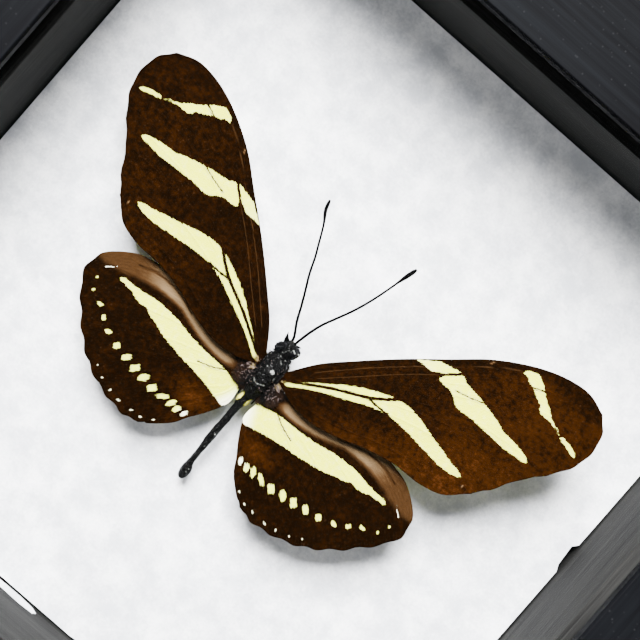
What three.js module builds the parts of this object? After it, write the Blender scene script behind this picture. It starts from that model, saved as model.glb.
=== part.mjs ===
// Spread zebra longwing butterfly in a glazed wooden shadow box.
// Units are millimetres.  The case lies on its back: +Z is up through the glass,
// +Y is the side that the butterfly's head points to, and Z = 0 is the underside.
import * as THREE from 'three';

// Case
const CASE_SIDE = 139.7;
const CASE_DEPTH = 32.2;
const OPENING = 101.6;
const LINER_THICK = 3.0;
const REBATE_HALF = 54.1;
const LIP_INNER = 51.6;
const LIP_THICK = 2.0;
const OUTER_CHAMFER = 1.0;
const LIP_CHAMFER = 0.5;
const GAP = 0.3;
const MITRE_GAP = 0.212;
const BACK_BASE = 2.0;
const BACK_THICK = 2.5;
const FOAM_BASE = 4.8;
const FOAM_THICK = 4.7;
const SHEET_BASE = 9.8;
const SHEET_THICK = 0.6;
const LINER_TOP = 27.6;
const GLASS_BASE = 27.9;
const GLASS_THICK = 2.0;
const TAB_LENGTH = 10.0;
const TAB_WIDTH = 7.8;
const TAB_THICK = 0.8;
const BED = SHEET_BASE + SHEET_THICK;

// Specimen
const BODY_X = -0.3;
const WING_THICK = 0.5;
const RIDGE_HEIGHT = 0.18;
const RIDGE_HALF_WIDTH = 0.32;
const PLEAT_DEPTH = 0.06;
const CAMBER = 0.22;
const SCALLOP_DEPTH = 0.3;
const FORE_ROOT_Z = 5.2;
const HIND_ROOT_Z = 4.0;
const FEELER_RADIUS = 0.26;
const CLUB_RADIUS = 0.38;
const LEG_RADIUS = 0.26;

const group = new THREE.Group();

function paint(color, roughness, metalness = 0.0) {
  return new THREE.MeshStandardMaterial({ color, roughness, metalness });
}

function blackWood() {
  return paint(0x1b1c1f, 0.42);
}

function greyWood() {
  return paint(0x3a3a38, 0.6);
}

function darkScales() {
  return paint(0x1e0e04, 0.7);
}

function blackCuticle() {
  return paint(0x14110f, 0.45);
}

// Adds one named piece to the part.
function add(name, geometry, material) {
  const mesh = new THREE.Mesh(geometry, material);
  mesh.name = name;
  group.add(mesh);
  return mesh;
}

// Six times the volume that a list of faces encloses.
function signedVolume(points, faces) {
  let sum = 0;
  for (const [a, b, c] of faces) {
    const cross = new THREE.Vector3().crossVectors(points[b], points[c]);
    sum += points[a].dot(cross);
  }
  return sum;
}

// Builds a closed geometry and turns its faces outward.
function solid(points, faces) {
  const inward = signedVolume(points, faces) < 0;
  const index = [];
  for (const [a, b, c] of faces) {
    if (inward) index.push(a, c, b);
    else index.push(a, b, c);
  }
  const geometry = new THREE.BufferGeometry();
  geometry.setFromPoints(points);
  geometry.setIndex(index);
  geometry.computeVertexNormals();
  return geometry;
}

function box(width, depth, height, x, y, z) {
  const geometry = new THREE.BoxGeometry(width, depth, height);
  geometry.translate(x, y, z);
  return geometry;
}

// A straight strip along one side of the case, mitred at both ends.
// The profile holds [distance from the case's centre line, height] pairs.
function mitredStrip(profile, quarterTurns) {
  const turn = quarterTurns * Math.PI / 2;
  const points = [];
  for (const end of [-1, 1]) {
    for (const [distance, height] of profile) {
      const along = end * (distance - MITRE_GAP);
      const x = along * Math.cos(turn) - distance * Math.sin(turn);
      const y = along * Math.sin(turn) + distance * Math.cos(turn);
      points.push(new THREE.Vector3(x, y, height));
    }
  }
  const count = profile.length;
  const faces = [];
  for (let k = 0; k < count; k++) {
    const next = (k + 1) % count;
    faces.push([k, next, count + next], [k, count + next, count + k]);
  }
  const outline = profile.map(([distance, height]) => new THREE.Vector2(distance, height));
  const caps = THREE.ShapeUtils.triangulateShape(outline, []);
  const clockwise = THREE.ShapeUtils.isClockWise(outline);
  for (const [a, b, c] of caps) {
    // The first cap looks back along the strip and the second one forward.
    if (clockwise) {
      faces.push([a, b, c], [count + a, count + c, count + b]);
    } else {
      faces.push([a, c, b], [count + a, count + b, count + c]);
    }
  }
  return solid(points, faces);
}

const SIDES = ['top', 'left', 'bottom', 'right'];

function buildCase() {
  const outer = CASE_SIDE / 2;
  const inner = OPENING / 2;
  const lipBase = CASE_DEPTH - LIP_THICK;
  const railProfile = [
    [REBATE_HALF, 0],
    [outer, 0],
    [outer, CASE_DEPTH - OUTER_CHAMFER],
    [outer - OUTER_CHAMFER, CASE_DEPTH],
    [LIP_INNER + LIP_CHAMFER, CASE_DEPTH],
    [LIP_INNER, CASE_DEPTH - LIP_CHAMFER],
    [LIP_INNER, lipBase],
    [REBATE_HALF, lipBase],
  ];
  const linerProfile = [
    [inner, FOAM_BASE],
    [inner + LINER_THICK, FOAM_BASE],
    [inner + LINER_THICK, LINER_TOP],
    [inner, LINER_TOP],
  ];
  SIDES.forEach((side, turns) => {
    add(`rail_${side}`, mitredStrip(railProfile, turns), blackWood());
    add(`liner_${side}`, mitredStrip(linerProfile, turns), greyWood());
    const middle = REBATE_HALF - GAP - TAB_WIDTH / 2;
    const tab = box(TAB_LENGTH, TAB_WIDTH, TAB_THICK, 0, middle, BACK_BASE - GAP - TAB_THICK / 2);
    tab.rotateZ(turns * Math.PI / 2);
    add(`tab_${side}`, tab, paint(0x8a8a88, 0.4, 0.9));
  });
  const wide = 2 * (REBATE_HALF - GAP);
  const narrow = OPENING - 2 * GAP;
  add('case_back', box(wide, wide, BACK_THICK, 0, 0, BACK_BASE + BACK_THICK / 2),
    paint(0x5a4836, 0.8));
  add('foam_board', box(narrow, narrow, FOAM_THICK, 0, 0, FOAM_BASE + FOAM_THICK / 2),
    paint(0xf1f1ef, 0.9));
  add('backing_sheet', box(narrow, narrow, SHEET_THICK, 0, 0, SHEET_BASE + SHEET_THICK / 2),
    paint(0xf4f5f8, 0.95));
  add('glass_pane', box(wide, wide, GLASS_THICK, 0, 0, GLASS_BASE + GLASS_THICK / 2),
    paint(0xeaf2f2, 0.05));
}

// Wing outlines, measured outward from the body's middle line.
const FORE_WING = {
  costa: [
    [1.85, -0.95], [4.45, 2.8], [8.05, 6.5], [12.75, 11.0], [17.75, 15.3],
    [22.45, 19.3], [28.05, 22.55], [32.25, 23.95], [35.45, 24.2], [38.45, 23.2],
  ],
  margin: [
    [38.45, 23.2], [40.25, 21.0], [40.8, 18.2], [40.25, 15.3],
    [38.25, 12.0], [35.75, 8.9], [33.65, 5.3], [31.25, 2.4],
  ],
  inner: [
    [1.9, -2.7], [3.3, -3.2], [5.45, -3.9], [8.75, -4.1], [12.75, -3.25],
    [16.95, -1.8], [21.25, -0.8], [25.75, -0.55], [29.05, 0.4], [31.25, 2.4],
  ],
  rows: [0, 0.07, 0.15, 0.24, 0.33, 0.42, 0.52, 0.62, 0.72, 0.81, 0.88, 0.94, 1],
  scallop: 0.12,
  rootZ: FORE_ROOT_Z,
};

const HIND_WING = {
  costa: [
    [1.95, -4.05], [3.4, -4.0], [6.5, -2.4], [10.0, -1.3], [14.25, -0.6], [18.25, -0.6],
    [21.95, -1.1], [24.5, -1.75], [26.5, -2.95], [28.0, -4.2], [28.65, -5.05],
  ],
  margin: [
    [28.65, -5.05], [29.2, -7.5], [28.3, -9.8], [26.4, -12.2], [24.2, -14.6],
    [21.4, -17.0], [18.2, -18.8], [14.5, -19.9], [10.8, -20.15], [8.25, -18.95],
  ],
  inner: [
    [1.55, -6.3], [1.62, -7.3], [1.42, -8.6], [1.45, -9.6], [2.0, -10.9],
    [3.1, -12.8], [4.35, -14.6], [5.5, -16.5], [6.95, -17.9], [8.25, -18.95],
  ],
  rows: [0, 0.08, 0.18, 0.29, 0.4, 0.5, 0.6, 0.7, 0.8, 0.9, 1],
  scallop: SCALLOP_DEPTH,
  rootZ: HIND_ROOT_Z,
};

// Each vein gives its place across the wing, from 0 at the costa to 1 at the
// inner margin, at a few distances from root to margin, and where its ridge starts.
FORE_WING.veins = [
  { start: 0.02, path: [[0, 0.13], [0.15, 0.09], [0.45, 0.11], [1, 0.1]] },
  { start: 0.46, path: [[0, 0.24], [0.3, 0.18], [0.46, 0.17], [1, 0.24]] },
  { start: 0.47, path: [[0, 0.35], [0.3, 0.26], [0.46, 0.24], [0.64, 0.288], [1, 0.38]] },
  { start: 0.02, path: [[0, 0.5], [0.1, 0.47], [0.2, 0.425], [0.33, 0.42], [0.42, 0.37], [1, 0.52]] },
  { start: 0.4, path: [[0, 0.6], [0.1, 0.54], [0.2, 0.48], [0.33, 0.47], [0.4, 0.46], [1, 0.66]] },
  { start: 0.32, path: [[0, 0.7], [0.1, 0.62], [0.2, 0.55], [0.33, 0.53], [0.4, 0.57], [1, 0.84]] },
  { start: 0.02, path: [[0, 0.85], [0.3, 0.88], [1, 0.95]] },
];

HIND_WING.veins = [
  { start: 0.02, path: [[0, 0.14], [1, 0.11]] },
  { start: 0.36, path: [[0, 0.28], [1, 0.255]] },
  { start: 0.34, path: [[0, 0.4], [1, 0.39]] },
  { start: 0.02, path: [[0, 0.5], [1, 0.52]] },
  { start: 0.3, path: [[0, 0.6], [1, 0.63]] },
  { start: 0.2, path: [[0, 0.7], [1, 0.755]] },
  { start: 0.02, path: [[0, 0.8], [1, 0.865]] },
  { start: 0.02, path: [[0, 0.92], [1, 0.95]] },
];

function curveThrough(pairs) {
  const points = pairs.map(([x, y]) => new THREE.Vector3(x, y, 0));
  const curve = new THREE.CatmullRomCurve3(points, false, 'centripetal');
  curve.arcLengthDivisions = 400;
  return curve;
}

function valueAlong(path, s) {
  for (let k = 1; k < path.length; k++) {
    const [s0, t0] = path[k - 1];
    const [s1, t1] = path[k];
    if (s <= s1) return t0 + (t1 - t0) * (s - s0) / (s1 - s0);
  }
  return path[path.length - 1][1];
}

// A wing sheet stretched between its costa, outer margin and inner margin.
class WingSheet {
  constructor(form) {
    this.form = form;
    this.costa = curveThrough(form.costa);
    this.margin = curveThrough(form.margin);
    this.inner = curveThrough(form.inner);
    this.costaRoot = this.costa.getPointAt(0);
    this.innerRoot = this.inner.getPointAt(0);
    this.apex = this.costa.getPointAt(1);
    this.tornus = this.inner.getPointAt(1);
    this.ends = [0, ...form.veins.map((vein) => valueAlong(vein.path, 1)), 1];
  }

  // Outer margin with a shallow dip between every two vein ends.
  marginPoint(t) {
    const point = this.margin.getPointAt(t);
    for (let k = 1; k < this.ends.length; k++) {
      if (t > this.ends[k] || t < this.ends[k - 1]) continue;
      const place = (t - this.ends[k - 1]) / (this.ends[k] - this.ends[k - 1]);
      const depth = this.form.scallop * Math.sin(Math.PI * place) ** 2;
      const tangent = this.margin.getTangentAt(t);
      point.x += tangent.y * depth;
      point.y -= tangent.x * depth;
      break;
    }
    return point;
  }

  pointAt(s, t) {
    const point = new THREE.Vector3();
    point.addScaledVector(this.costa.getPointAt(s), 1 - t);
    point.addScaledVector(this.inner.getPointAt(s), t);
    point.addScaledVector(this.marginPoint(t), s);
    point.addScaledVector(this.costaRoot, -s * (1 - t));
    point.addScaledVector(this.innerRoot, -s * t);
    point.addScaledVector(this.costaRoot, (1 - s) * (1 - t));
    point.addScaledVector(this.innerRoot, (1 - s) * t);
    point.addScaledVector(this.costaRoot, -(1 - s) * (1 - t));
    point.addScaledVector(this.innerRoot, -(1 - s) * t);
    point.addScaledVector(this.apex, -s * (1 - t));
    point.addScaledVector(this.tornus, -s * t);
    point.addScaledVector(this.costaRoot, s * (1 - t));
    point.addScaledVector(this.innerRoot, s * t);
    return point;
  }

  // Columns across the wing at one row: margins, vein crests, their feet and middles.
  columns(s) {
    const chord = this.costa.getPointAt(s).distanceTo(this.inner.getPointAt(s));
    const crests = this.form.veins.map((vein) => valueAlong(vein.path, s));
    const places = [0, ...crests, 1];
    const list = [{ t: 0, lift: 0 }];
    for (let k = 1; k < places.length; k++) {
      const before = places[k - 1];
      const here = places[k];
      const span = here - before;
      const foot = Math.min(RIDGE_HALF_WIDTH / chord, span * 0.3);
      const sag = -PLEAT_DEPTH * Math.min(1, span * chord / 3);
      if (k > 1) list.push({ t: before + foot, lift: 0 });
      list.push({ t: (before + here) / 2, lift: sag });
      if (k === places.length - 1) {
        list.push({ t: 1, lift: 0 });
        break;
      }
      list.push({ t: here - foot, lift: 0 });
      list.push({ t: here, lift: this.ridgeAt(k - 1, s) });
    }
    return list;
  }

  ridgeAt(vein, s) {
    const rise = (s - this.form.veins[vein].start) / 0.05;
    const fade = 1 - 0.35 * s;
    return RIDGE_HEIGHT * fade * THREE.MathUtils.clamp(rise, 0, 1);
  }

  // Height of the membrane above the wing's root plane.
  bow(s, t) {
    return CAMBER * Math.sin(Math.PI * t) * Math.sin(Math.PI * Math.min(1, s + 0.1) * 0.8);
  }
}

// Closes a wing into a sheet of even thickness.  Both faces share one triangulation.
function wingGeometry(form, placing) {
  const sheet = new WingSheet(form);
  const top = [];
  const bottom = [];
  const turn = THREE.MathUtils.degToRad(placing.turn);
  for (const s of form.rows) {
    for (const column of sheet.columns(s)) {
      const flat = sheet.pointAt(s, column.t);
      const dx = flat.x - form.costa[0][0];
      const dy = flat.y - form.costa[0][1];
      const x = form.costa[0][0] + dx * Math.cos(turn) - dy * Math.sin(turn);
      const y = form.costa[0][1] + dx * Math.sin(turn) + dy * Math.cos(turn) + placing.drop * s;
      const level = BED + form.rootZ + placing.slope * x + sheet.bow(s, column.t);
      const across = BODY_X + placing.side * x;
      top.push(new THREE.Vector3(across, y, level + WING_THICK + column.lift));
      bottom.push(new THREE.Vector3(across, y, level));
    }
  }
  const columns = top.length / form.rows.length;
  const rows = form.rows.length;
  const points = [...top, ...bottom];
  const under = top.length;
  const faces = [];
  for (let i = 0; i + 1 < rows; i++) {
    for (let j = 0; j + 1 < columns; j++) {
      const a = i * columns + j;
      const b = a + 1;
      const c = a + columns;
      const d = c + 1;
      faces.push([a, b, c], [b, d, c]);
      faces.push([under + a, under + c, under + b], [under + b, under + c, under + d]);
    }
  }
  const rim = [];
  for (let j = 0; j + 1 < columns; j++) rim.push(j);
  for (let i = 0; i + 1 < rows; i++) rim.push(i * columns + columns - 1);
  for (let j = columns - 1; j > 0; j--) rim.push((rows - 1) * columns + j);
  for (let i = rows - 1; i > 0; i--) rim.push(i * columns);
  rim.forEach((a, k) => {
    const b = rim[(k + 1) % rim.length];
    faces.push([b, a, under + a], [b, under + a, under + b]);
  });
  return solid(points, faces);
}

// A body piece with upright oval cross-sections.  Each section gives
// [y, middle x, middle height above the bed, half width, half height].
function ovalBody(sections, around, turnDegrees = 0, pivot = [0, 0]) {
  const turn = THREE.MathUtils.degToRad(turnDegrees);
  const place = (x, y, z) => {
    const dx = x - pivot[0];
    const dy = y - pivot[1];
    return new THREE.Vector3(
      pivot[0] + dx * Math.cos(turn) - dy * Math.sin(turn),
      pivot[1] + dx * Math.sin(turn) + dy * Math.cos(turn),
      BED + z,
    );
  };
  const points = [];
  for (const [y, x, z, wide, high] of sections) {
    for (let k = 0; k < around; k++) {
      const angle = 2 * Math.PI * k / around;
      points.push(place(x + wide * Math.cos(angle), y, z + high * Math.sin(angle)));
    }
  }
  const first = sections[0];
  const last = sections[sections.length - 1];
  points.push(place(first[1], first[0], first[2]), place(last[1], last[0], last[2]));
  return solid(points, tubeFaces(sections.length, around));
}

// Faces of a run of rings closed by one point at either end.
function tubeFaces(rings, around) {
  const faces = [];
  const start = rings * around;
  for (let i = 0; i + 1 < rings; i++) {
    for (let k = 0; k < around; k++) {
      const next = (k + 1) % around;
      const a = i * around + k;
      const b = i * around + next;
      const c = a + around;
      const d = b + around;
      faces.push([a, b, d], [a, d, c]);
    }
  }
  for (let k = 0; k < around; k++) {
    const next = (k + 1) % around;
    faces.push([start, next, k]);
    faces.push([start + 1, (rings - 1) * around + k, (rings - 1) * around + next]);
  }
  return faces;
}

// A round limb along a smooth path; radiusAt gives its radius from start to end.
function limb(path, radiusAt, steps, around) {
  const points = path.map(([x, y, z]) => new THREE.Vector3(x, y, BED + z));
  const curve = new THREE.CatmullRomCurve3(points, false, 'centripetal');
  const frames = curve.computeFrenetFrames(steps, false);
  const rings = [];
  for (let i = 0; i <= steps; i++) {
    const centre = curve.getPointAt(i / steps);
    const radius = radiusAt(i / steps);
    for (let k = 0; k < around; k++) {
      const angle = 2 * Math.PI * k / around;
      const point = centre.clone();
      point.addScaledVector(frames.normals[i], radius * Math.cos(angle));
      point.addScaledVector(frames.binormals[i], radius * Math.sin(angle));
      rings.push(point);
    }
  }
  rings.push(curve.getPointAt(0), curve.getPointAt(1));
  return solid(rings, tubeFaces(steps + 1, around));
}

const THORAX = [
  [0.15, -0.32, 4.5, 0.75, 0.8],
  [-0.2, -0.32, 4.5, 1.2, 1.2],
  [-1.0, -0.3, 4.55, 1.5, 1.7],
  [-2.2, -0.3, 4.6, 1.62, 2.05],
  [-3.6, -0.3, 4.6, 1.64, 2.1],
  [-5.0, -0.32, 4.5, 1.48, 1.9],
  [-6.2, -0.36, 4.35, 1.22, 1.5],
  [-7.0, -0.4, 4.2, 0.98, 1.15],
];

function buildBody() {
  add('thorax', ovalBody(THORAX, 20), blackCuticle());

  const head = [
    [0.45, -0.3, 4.5, 0.4, 0.6],
    [0.8, -0.3, 4.5, 0.5, 1.05],
    [1.5, -0.32, 4.5, 0.52, 1.2],
    [2.2, -0.36, 4.5, 0.56, 1.1],
    [2.7, -0.4, 4.5, 0.62, 0.75],
  ];
  add('head', ovalBody(head, 14), blackCuticle());

  // The segments of the abdomen narrow a little where they join.
  const abdomen = [
    [-7.3, -0.42, 4.05, 0.92, 1.0],
    [-8.0, -0.45, 3.95, 0.96, 1.0],
    [-8.8, -0.5, 3.85, 0.72, 0.82],
    [-9.3, -0.52, 3.74, 0.54, 0.66],
    [-10.9, -0.5, 3.48, 0.56, 0.66],
    [-11.1, -0.5, 3.45, 0.51, 0.6],
    [-11.4, -0.49, 3.4, 0.57, 0.66],
    [-13.4, -0.48, 3.06, 0.58, 0.64],
    [-13.6, -0.48, 3.02, 0.52, 0.58],
    [-13.9, -0.48, 2.97, 0.58, 0.63],
    [-15.9, -0.43, 2.62, 0.57, 0.6],
    [-16.1, -0.42, 2.58, 0.51, 0.55],
    [-16.4, -0.41, 2.54, 0.57, 0.6],
    [-18.2, -0.3, 2.26, 0.5, 0.56],
    [-18.4, -0.29, 2.23, 0.45, 0.5],
    [-18.7, -0.28, 2.19, 0.5, 0.55],
    [-19.7, -0.24, 2.04, 0.54, 0.56],
    [-20.3, -0.1, 1.96, 0.74, 0.68],
    [-21.1, 0.0, 1.86, 0.82, 0.75],
    [-21.9, 0.05, 1.8, 0.66, 0.62],
    [-22.4, 0.1, 1.78, 0.36, 0.36],
    [-22.6, 0.12, 1.78, 0.12, 0.12],
  ];
  add('abdomen', ovalBody(abdomen, 12), paint(0x1a1613, 0.5));

  // Compound eyes: domes with their flat sides to the head.
  for (const [name, side, reach] of [['eye_left', -1, 1.0], ['eye_right', 1, 0.9]]) {
    const profile = [];
    const steps = 6;
    for (let k = 0; k <= steps; k++) {
      const angle = Math.PI / 2 * k / steps;
      const radius = k === steps ? 0 : Math.cos(angle);
      profile.push(new THREE.Vector2(radius, Math.sin(angle)));
    }
    profile.unshift(new THREE.Vector2(0, 0));
    const dome = new THREE.LatheGeometry(profile, 16);
    dome.scale(1.08, reach, 1.12);
    dome.rotateZ(-side * Math.PI / 2);
    dome.translate(BODY_X + side * 0.86, 1.42, BED + 4.5);
    add(name, dome, paint(0x2b2a2e, 0.25));
  }

  const feelers = {
    left: [
      [-0.82, 3.05, 4.75], [-1.15, 3.8, 4.95], [-1.9, 5.2, 5.1], [-3.0, 7.5, 5.25],
      [-4.0, 9.5, 5.4], [-5.0, 11.45, 5.55], [-6.0, 13.9, 5.75], [-6.7, 15.3, 5.9],
      [-8.0, 17.9, 6.1], [-9.1, 19.6, 6.25], [-9.55, 21.0, 6.4],
    ],
    right: [
      [0.02, 3.05, 4.75], [0.1, 3.8, 4.95], [0.45, 5.3, 5.1], [1.0, 7.2, 5.25],
      [2.0, 9.4, 5.4], [3.0, 11.6, 5.55], [4.0, 14.45, 5.75], [4.7, 17.0, 5.9],
      [5.3, 19.5, 6.1], [5.88, 21.65, 6.3],
    ],
  };
  const feelerRadius = (u) => {
    const swell = THREE.MathUtils.smoothstep(u, 0.8, 0.92) - THREE.MathUtils.smoothstep(u, 0.95, 1.02);
    const tip = 1 - 0.45 * THREE.MathUtils.smoothstep(u, 0.97, 1);
    return (FEELER_RADIUS + (CLUB_RADIUS - FEELER_RADIUS) * Math.max(0, swell)) * tip;
  };
  for (const side of ['left', 'right']) {
    add(`antenna_${side}`, limb(feelers[side], feelerRadius, 26, 7), blackCuticle());
  }

  const palpRadius = (u) => 0.27 - 0.13 * u;
  const palps = {
    left: [[-0.86, 2.4, 3.42], [-0.95, 2.5, 3.12], [-1.35, 2.75, 3.1], [-1.78, 3.02, 3.6], [-2.0, 3.4, 4.6]],
    right: [[0.14, 2.4, 3.42], [0.24, 2.48, 3.12], [0.55, 2.62, 3.15], [0.85, 2.74, 3.7], [0.92, 2.84, 4.4]],
  };
  for (const side of ['left', 'right']) {
    add(`palp_${side}`, limb(palps[side], palpRadius, 10, 7), blackCuticle());
  }

  // The tongue is coiled upright under the head.
  const coil = [];
  const turns = 1.35;
  const coilSteps = 14;
  for (let k = 0; k <= coilSteps; k++) {
    const u = k / coilSteps;
    const angle = Math.PI / 2 + 2 * Math.PI * turns * u;
    const radius = 1.02 - 0.72 * u;
    coil.push([-0.35, 1.75 + radius * Math.cos(angle), 1.68 + radius * Math.sin(angle)]);
  }
  add('proboscis', limb(coil, (u) => 0.22 - 0.06 * u, 28, 6), paint(0x2a1a10, 0.5));
}

// A point on the underside of the thorax, 0 degrees at its lowest line, and the
// direction that the surface faces there.
function breastPoint(y, degrees, sign) {
  let k = 1;
  while (k + 1 < THORAX.length && THORAX[k][0] > y) k++;
  const before = THORAX[k - 1];
  const after = THORAX[k];
  const part = (y - before[0]) / (after[0] - before[0]);
  const [, middle, height, wide, high] = before.map((value, n) => value + (after[n] - value) * part);
  const angle = THREE.MathUtils.degToRad(degrees);
  const outward = sign * wide * Math.sin(angle);
  const point = new THREE.Vector3(middle + outward, y, height - high * Math.cos(angle));
  const facing = new THREE.Vector3(sign * Math.sin(angle) / wide, 0, -Math.cos(angle) / high).normalize();
  return { point, facing };
}

function buildLegs() {
  // Each leg leaves the breast, bends down, then folds back along the body.
  const legs = [
    ['fore', -0.95, 30, 1.7, 0.1],
    ['mid', -2.3, 42, 2.3, 0.3],
    ['hind', -5.2, 42, 2.8, 0.3],
  ];
  for (const [side, sign] of [['left', -1], ['right', 1]]) {
    for (const [name, y, degrees, length, reach] of legs) {
      const { point, facing } = breastPoint(y, degrees, sign);
      const root = point.clone().addScaledVector(facing, GAP + 0.04);
      const knee = root.clone().addScaledVector(facing, 0.3);
      const x = knee.x + sign * reach;
      const path = [
        [root.x, root.y, root.z],
        [knee.x, knee.y, knee.z],
        [x, y - 0.05, (knee.z + 1.1) / 2],
        [x - sign * 0.05, y - 0.3 * length, 0.95],
        [x - sign * 0.2, y - 0.62 * length, 0.74],
        [x - sign * 0.3, y - length, 0.68],
      ];
      add(`leg_${name}_${side}`, limb(path, () => LEG_RADIUS, 13, 6), blackCuticle());
    }
  }
  const post = new THREE.CylinderGeometry(0.45, 0.6, 1.85, 16);
  post.rotateX(Math.PI / 2);
  post.translate(BODY_X, -3.0, BED + GAP + 0.925);
  add('mount_post', post, paint(0xe6e6e2, 0.6));
}

function buildWings() {
  // side: which way the wing points; slope: rise per millimetre of reach;
  // turn: swing about the root in degrees; drop: shift of the outer wing along Y.
  const fore = {
    left: { side: -1, slope: 0.0, turn: -1.1, drop: 0.0 },
    right: { side: 1, slope: 0.09, turn: 0.0, drop: 0.0 },
  };
  const hind = {
    left: { side: -1, slope: 0.0, turn: 0.0, drop: -0.3 },
    right: { side: 1, slope: 0.07, turn: 0.0, drop: 0.0 },
  };
  for (const side of ['left', 'right']) {
    add(`forewing_${side}`, wingGeometry(FORE_WING, fore[side]), darkScales());
    add(`hindwing_${side}`, wingGeometry(HIND_WING, hind[side]), darkScales());
  }
}

buildCase();
buildWings();
buildBody();
buildLegs();

export default group;
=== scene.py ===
"""Looks of a spread zebra longwing butterfly in a glazed wooden shadow box."""

import logging
import math
import random
from dataclasses import dataclass, field
from enum import Enum
from typing import Callable, Sequence

import bmesh
import bpy
import numpy as np
from mathutils import Matrix, Vector, noise


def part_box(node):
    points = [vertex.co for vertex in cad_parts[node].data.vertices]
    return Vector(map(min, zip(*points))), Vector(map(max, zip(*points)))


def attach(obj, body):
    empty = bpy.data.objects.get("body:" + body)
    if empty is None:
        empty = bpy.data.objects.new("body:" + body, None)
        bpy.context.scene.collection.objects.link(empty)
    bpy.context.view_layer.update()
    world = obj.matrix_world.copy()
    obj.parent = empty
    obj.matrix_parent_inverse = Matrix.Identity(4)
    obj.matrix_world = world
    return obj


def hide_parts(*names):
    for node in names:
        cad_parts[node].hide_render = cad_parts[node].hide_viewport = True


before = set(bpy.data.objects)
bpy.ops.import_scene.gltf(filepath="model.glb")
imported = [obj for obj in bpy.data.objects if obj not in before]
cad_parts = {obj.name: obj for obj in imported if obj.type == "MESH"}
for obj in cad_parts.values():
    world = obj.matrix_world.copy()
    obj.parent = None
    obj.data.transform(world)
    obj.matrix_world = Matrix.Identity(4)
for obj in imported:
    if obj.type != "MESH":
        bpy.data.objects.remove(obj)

LOG = logging.getLogger("zebra_longwing")
MM = 0.001
NO_DEPTH = -9.0
Pair = tuple[float, float]
Colour = tuple[float, float, float, float]
Areas = tuple[np.ndarray, np.ndarray, np.ndarray]
BMesh = bmesh.types.BMesh
BMVert = bmesh.types.BMVert
Material = bpy.types.Material
Piece = bpy.types.Object
Socket = bpy.types.NodeSocket


class Side(Enum):
    """Which side of the body a paired piece is on, as seen through the glass."""

    LEFT = -1
    RIGHT = 1

    @property
    def tag(self) -> str:
        """Lower-case name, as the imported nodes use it."""
        return self.name.lower()


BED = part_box("backing_sheet")[1][2] / MM
BODY_X = -0.3


def smooth_line(points: Sequence[Sequence[float]], per_span: int = 14, closed: bool = False) -> np.ndarray:
    """Draws a centripetal curve through a few points.

    Args:
        points: The points that the curve passes through, in millimetres.
        per_span: Samples between two neighbouring points.
        closed: True for a loop.

    Returns:
        The samples, one row each.
    """
    knots = np.asarray(points, dtype=float)
    if closed:
        knots = np.vstack([knots[-1], knots, knots[:2]])
    else:
        knots = np.vstack([2 * knots[0] - knots[1], knots, 2 * knots[-1] - knots[-2]])
    samples = []
    for k in range(1, len(knots) - 2):
        p0, p1, p2, p3 = knots[k - 1:k + 3]
        t1 = max(np.linalg.norm(p1 - p0), 1e-6) ** 0.5
        t2 = t1 + max(np.linalg.norm(p2 - p1), 1e-6) ** 0.5
        t3 = t2 + max(np.linalg.norm(p3 - p2), 1e-6) ** 0.5
        t = np.linspace(t1, t2, per_span, endpoint=False)[:, None]
        a1 = (t1 - t) / t1 * p0 + t / t1 * p1
        a2 = (t2 - t) / (t2 - t1) * p1 + (t - t1) / (t2 - t1) * p2
        a3 = (t3 - t) / (t3 - t2) * p2 + (t - t2) / (t3 - t2) * p3
        b1 = (t2 - t) / t2 * a1 + t / t2 * a2
        b2 = (t3 - t) / (t3 - t1) * a2 + (t - t1) / (t3 - t1) * a3
        samples.append((t2 - t) / (t2 - t1) * b1 + (t - t1) / (t2 - t1) * b2)
    if not closed:
        samples.append(knots[-2][None, :])
    return np.vstack(samples)


class Track:
    """A smooth line that is read by the share of its length."""

    def __init__(self, points: Sequence[Sequence[float]]) -> None:
        """Draws the line.

        Args:
            points: Points that the line passes through.
        """
        self.line = smooth_line(points)
        steps = np.linalg.norm(np.diff(self.line, axis=0), axis=1)
        reach = np.concatenate([[0.0], np.cumsum(steps)])
        self.length = float(reach[-1])
        self.share = reach / reach[-1]

    def at(self, share: np.ndarray | float) -> np.ndarray:
        """Points at the given shares of the length, from 0 to 1."""
        columns = [np.interp(share, self.share, column) for column in self.line.T]
        return np.stack(columns, axis=-1)


def distance_to_line(spots: np.ndarray, line: np.ndarray) -> np.ndarray:
    """Distance from each spot to a polyline.

    Args:
        spots: Places in the plane, one row each.
        line: The polyline's points in order.

    Returns:
        One distance for each spot.
    """
    best = np.full(len(spots), 1e9)
    for start, end in zip(line[:-1], line[1:]):
        run = end - start
        share = np.clip((spots - start) @ run / max(run @ run, 1e-12), 0.0, 1.0)
        best = np.minimum(best, np.linalg.norm(spots - start - share[:, None] * run, axis=1))
    return best


def depth_inside(spots: np.ndarray, outline: Sequence[Pair]) -> np.ndarray:
    """How deep each spot lies inside a smooth closed outline.

    Args:
        spots: Places in the plane, one row each.
        outline: Points that the outline passes through.

    Returns:
        One depth for each spot, negative outside.
    """
    loop = smooth_line(outline, per_span=5, closed=True)
    loop = np.vstack([loop, loop[:1]])
    within = np.zeros(len(spots), dtype=bool)
    for (x0, y0), (x1, y1) in zip(loop[:-1], loop[1:]):
        crosses = (y0 > spots[:, 1]) != (y1 > spots[:, 1])
        height = y1 - y0 if y1 != y0 else 1e-12
        within ^= crosses & (spots[:, 0] < x0 + (spots[:, 1] - y0) * (x1 - x0) / height)
    gap = distance_to_line(spots, loop)
    return np.where(within, gap, -gap)


def smoothstep(low: float, high: float, value: np.ndarray) -> np.ndarray:
    """Smooth ramp from 0 at low to 1 at high."""
    share = np.clip((value - low) / (high - low), 0.0, 1.0)
    return share * share * (3.0 - 2.0 * share)


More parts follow.
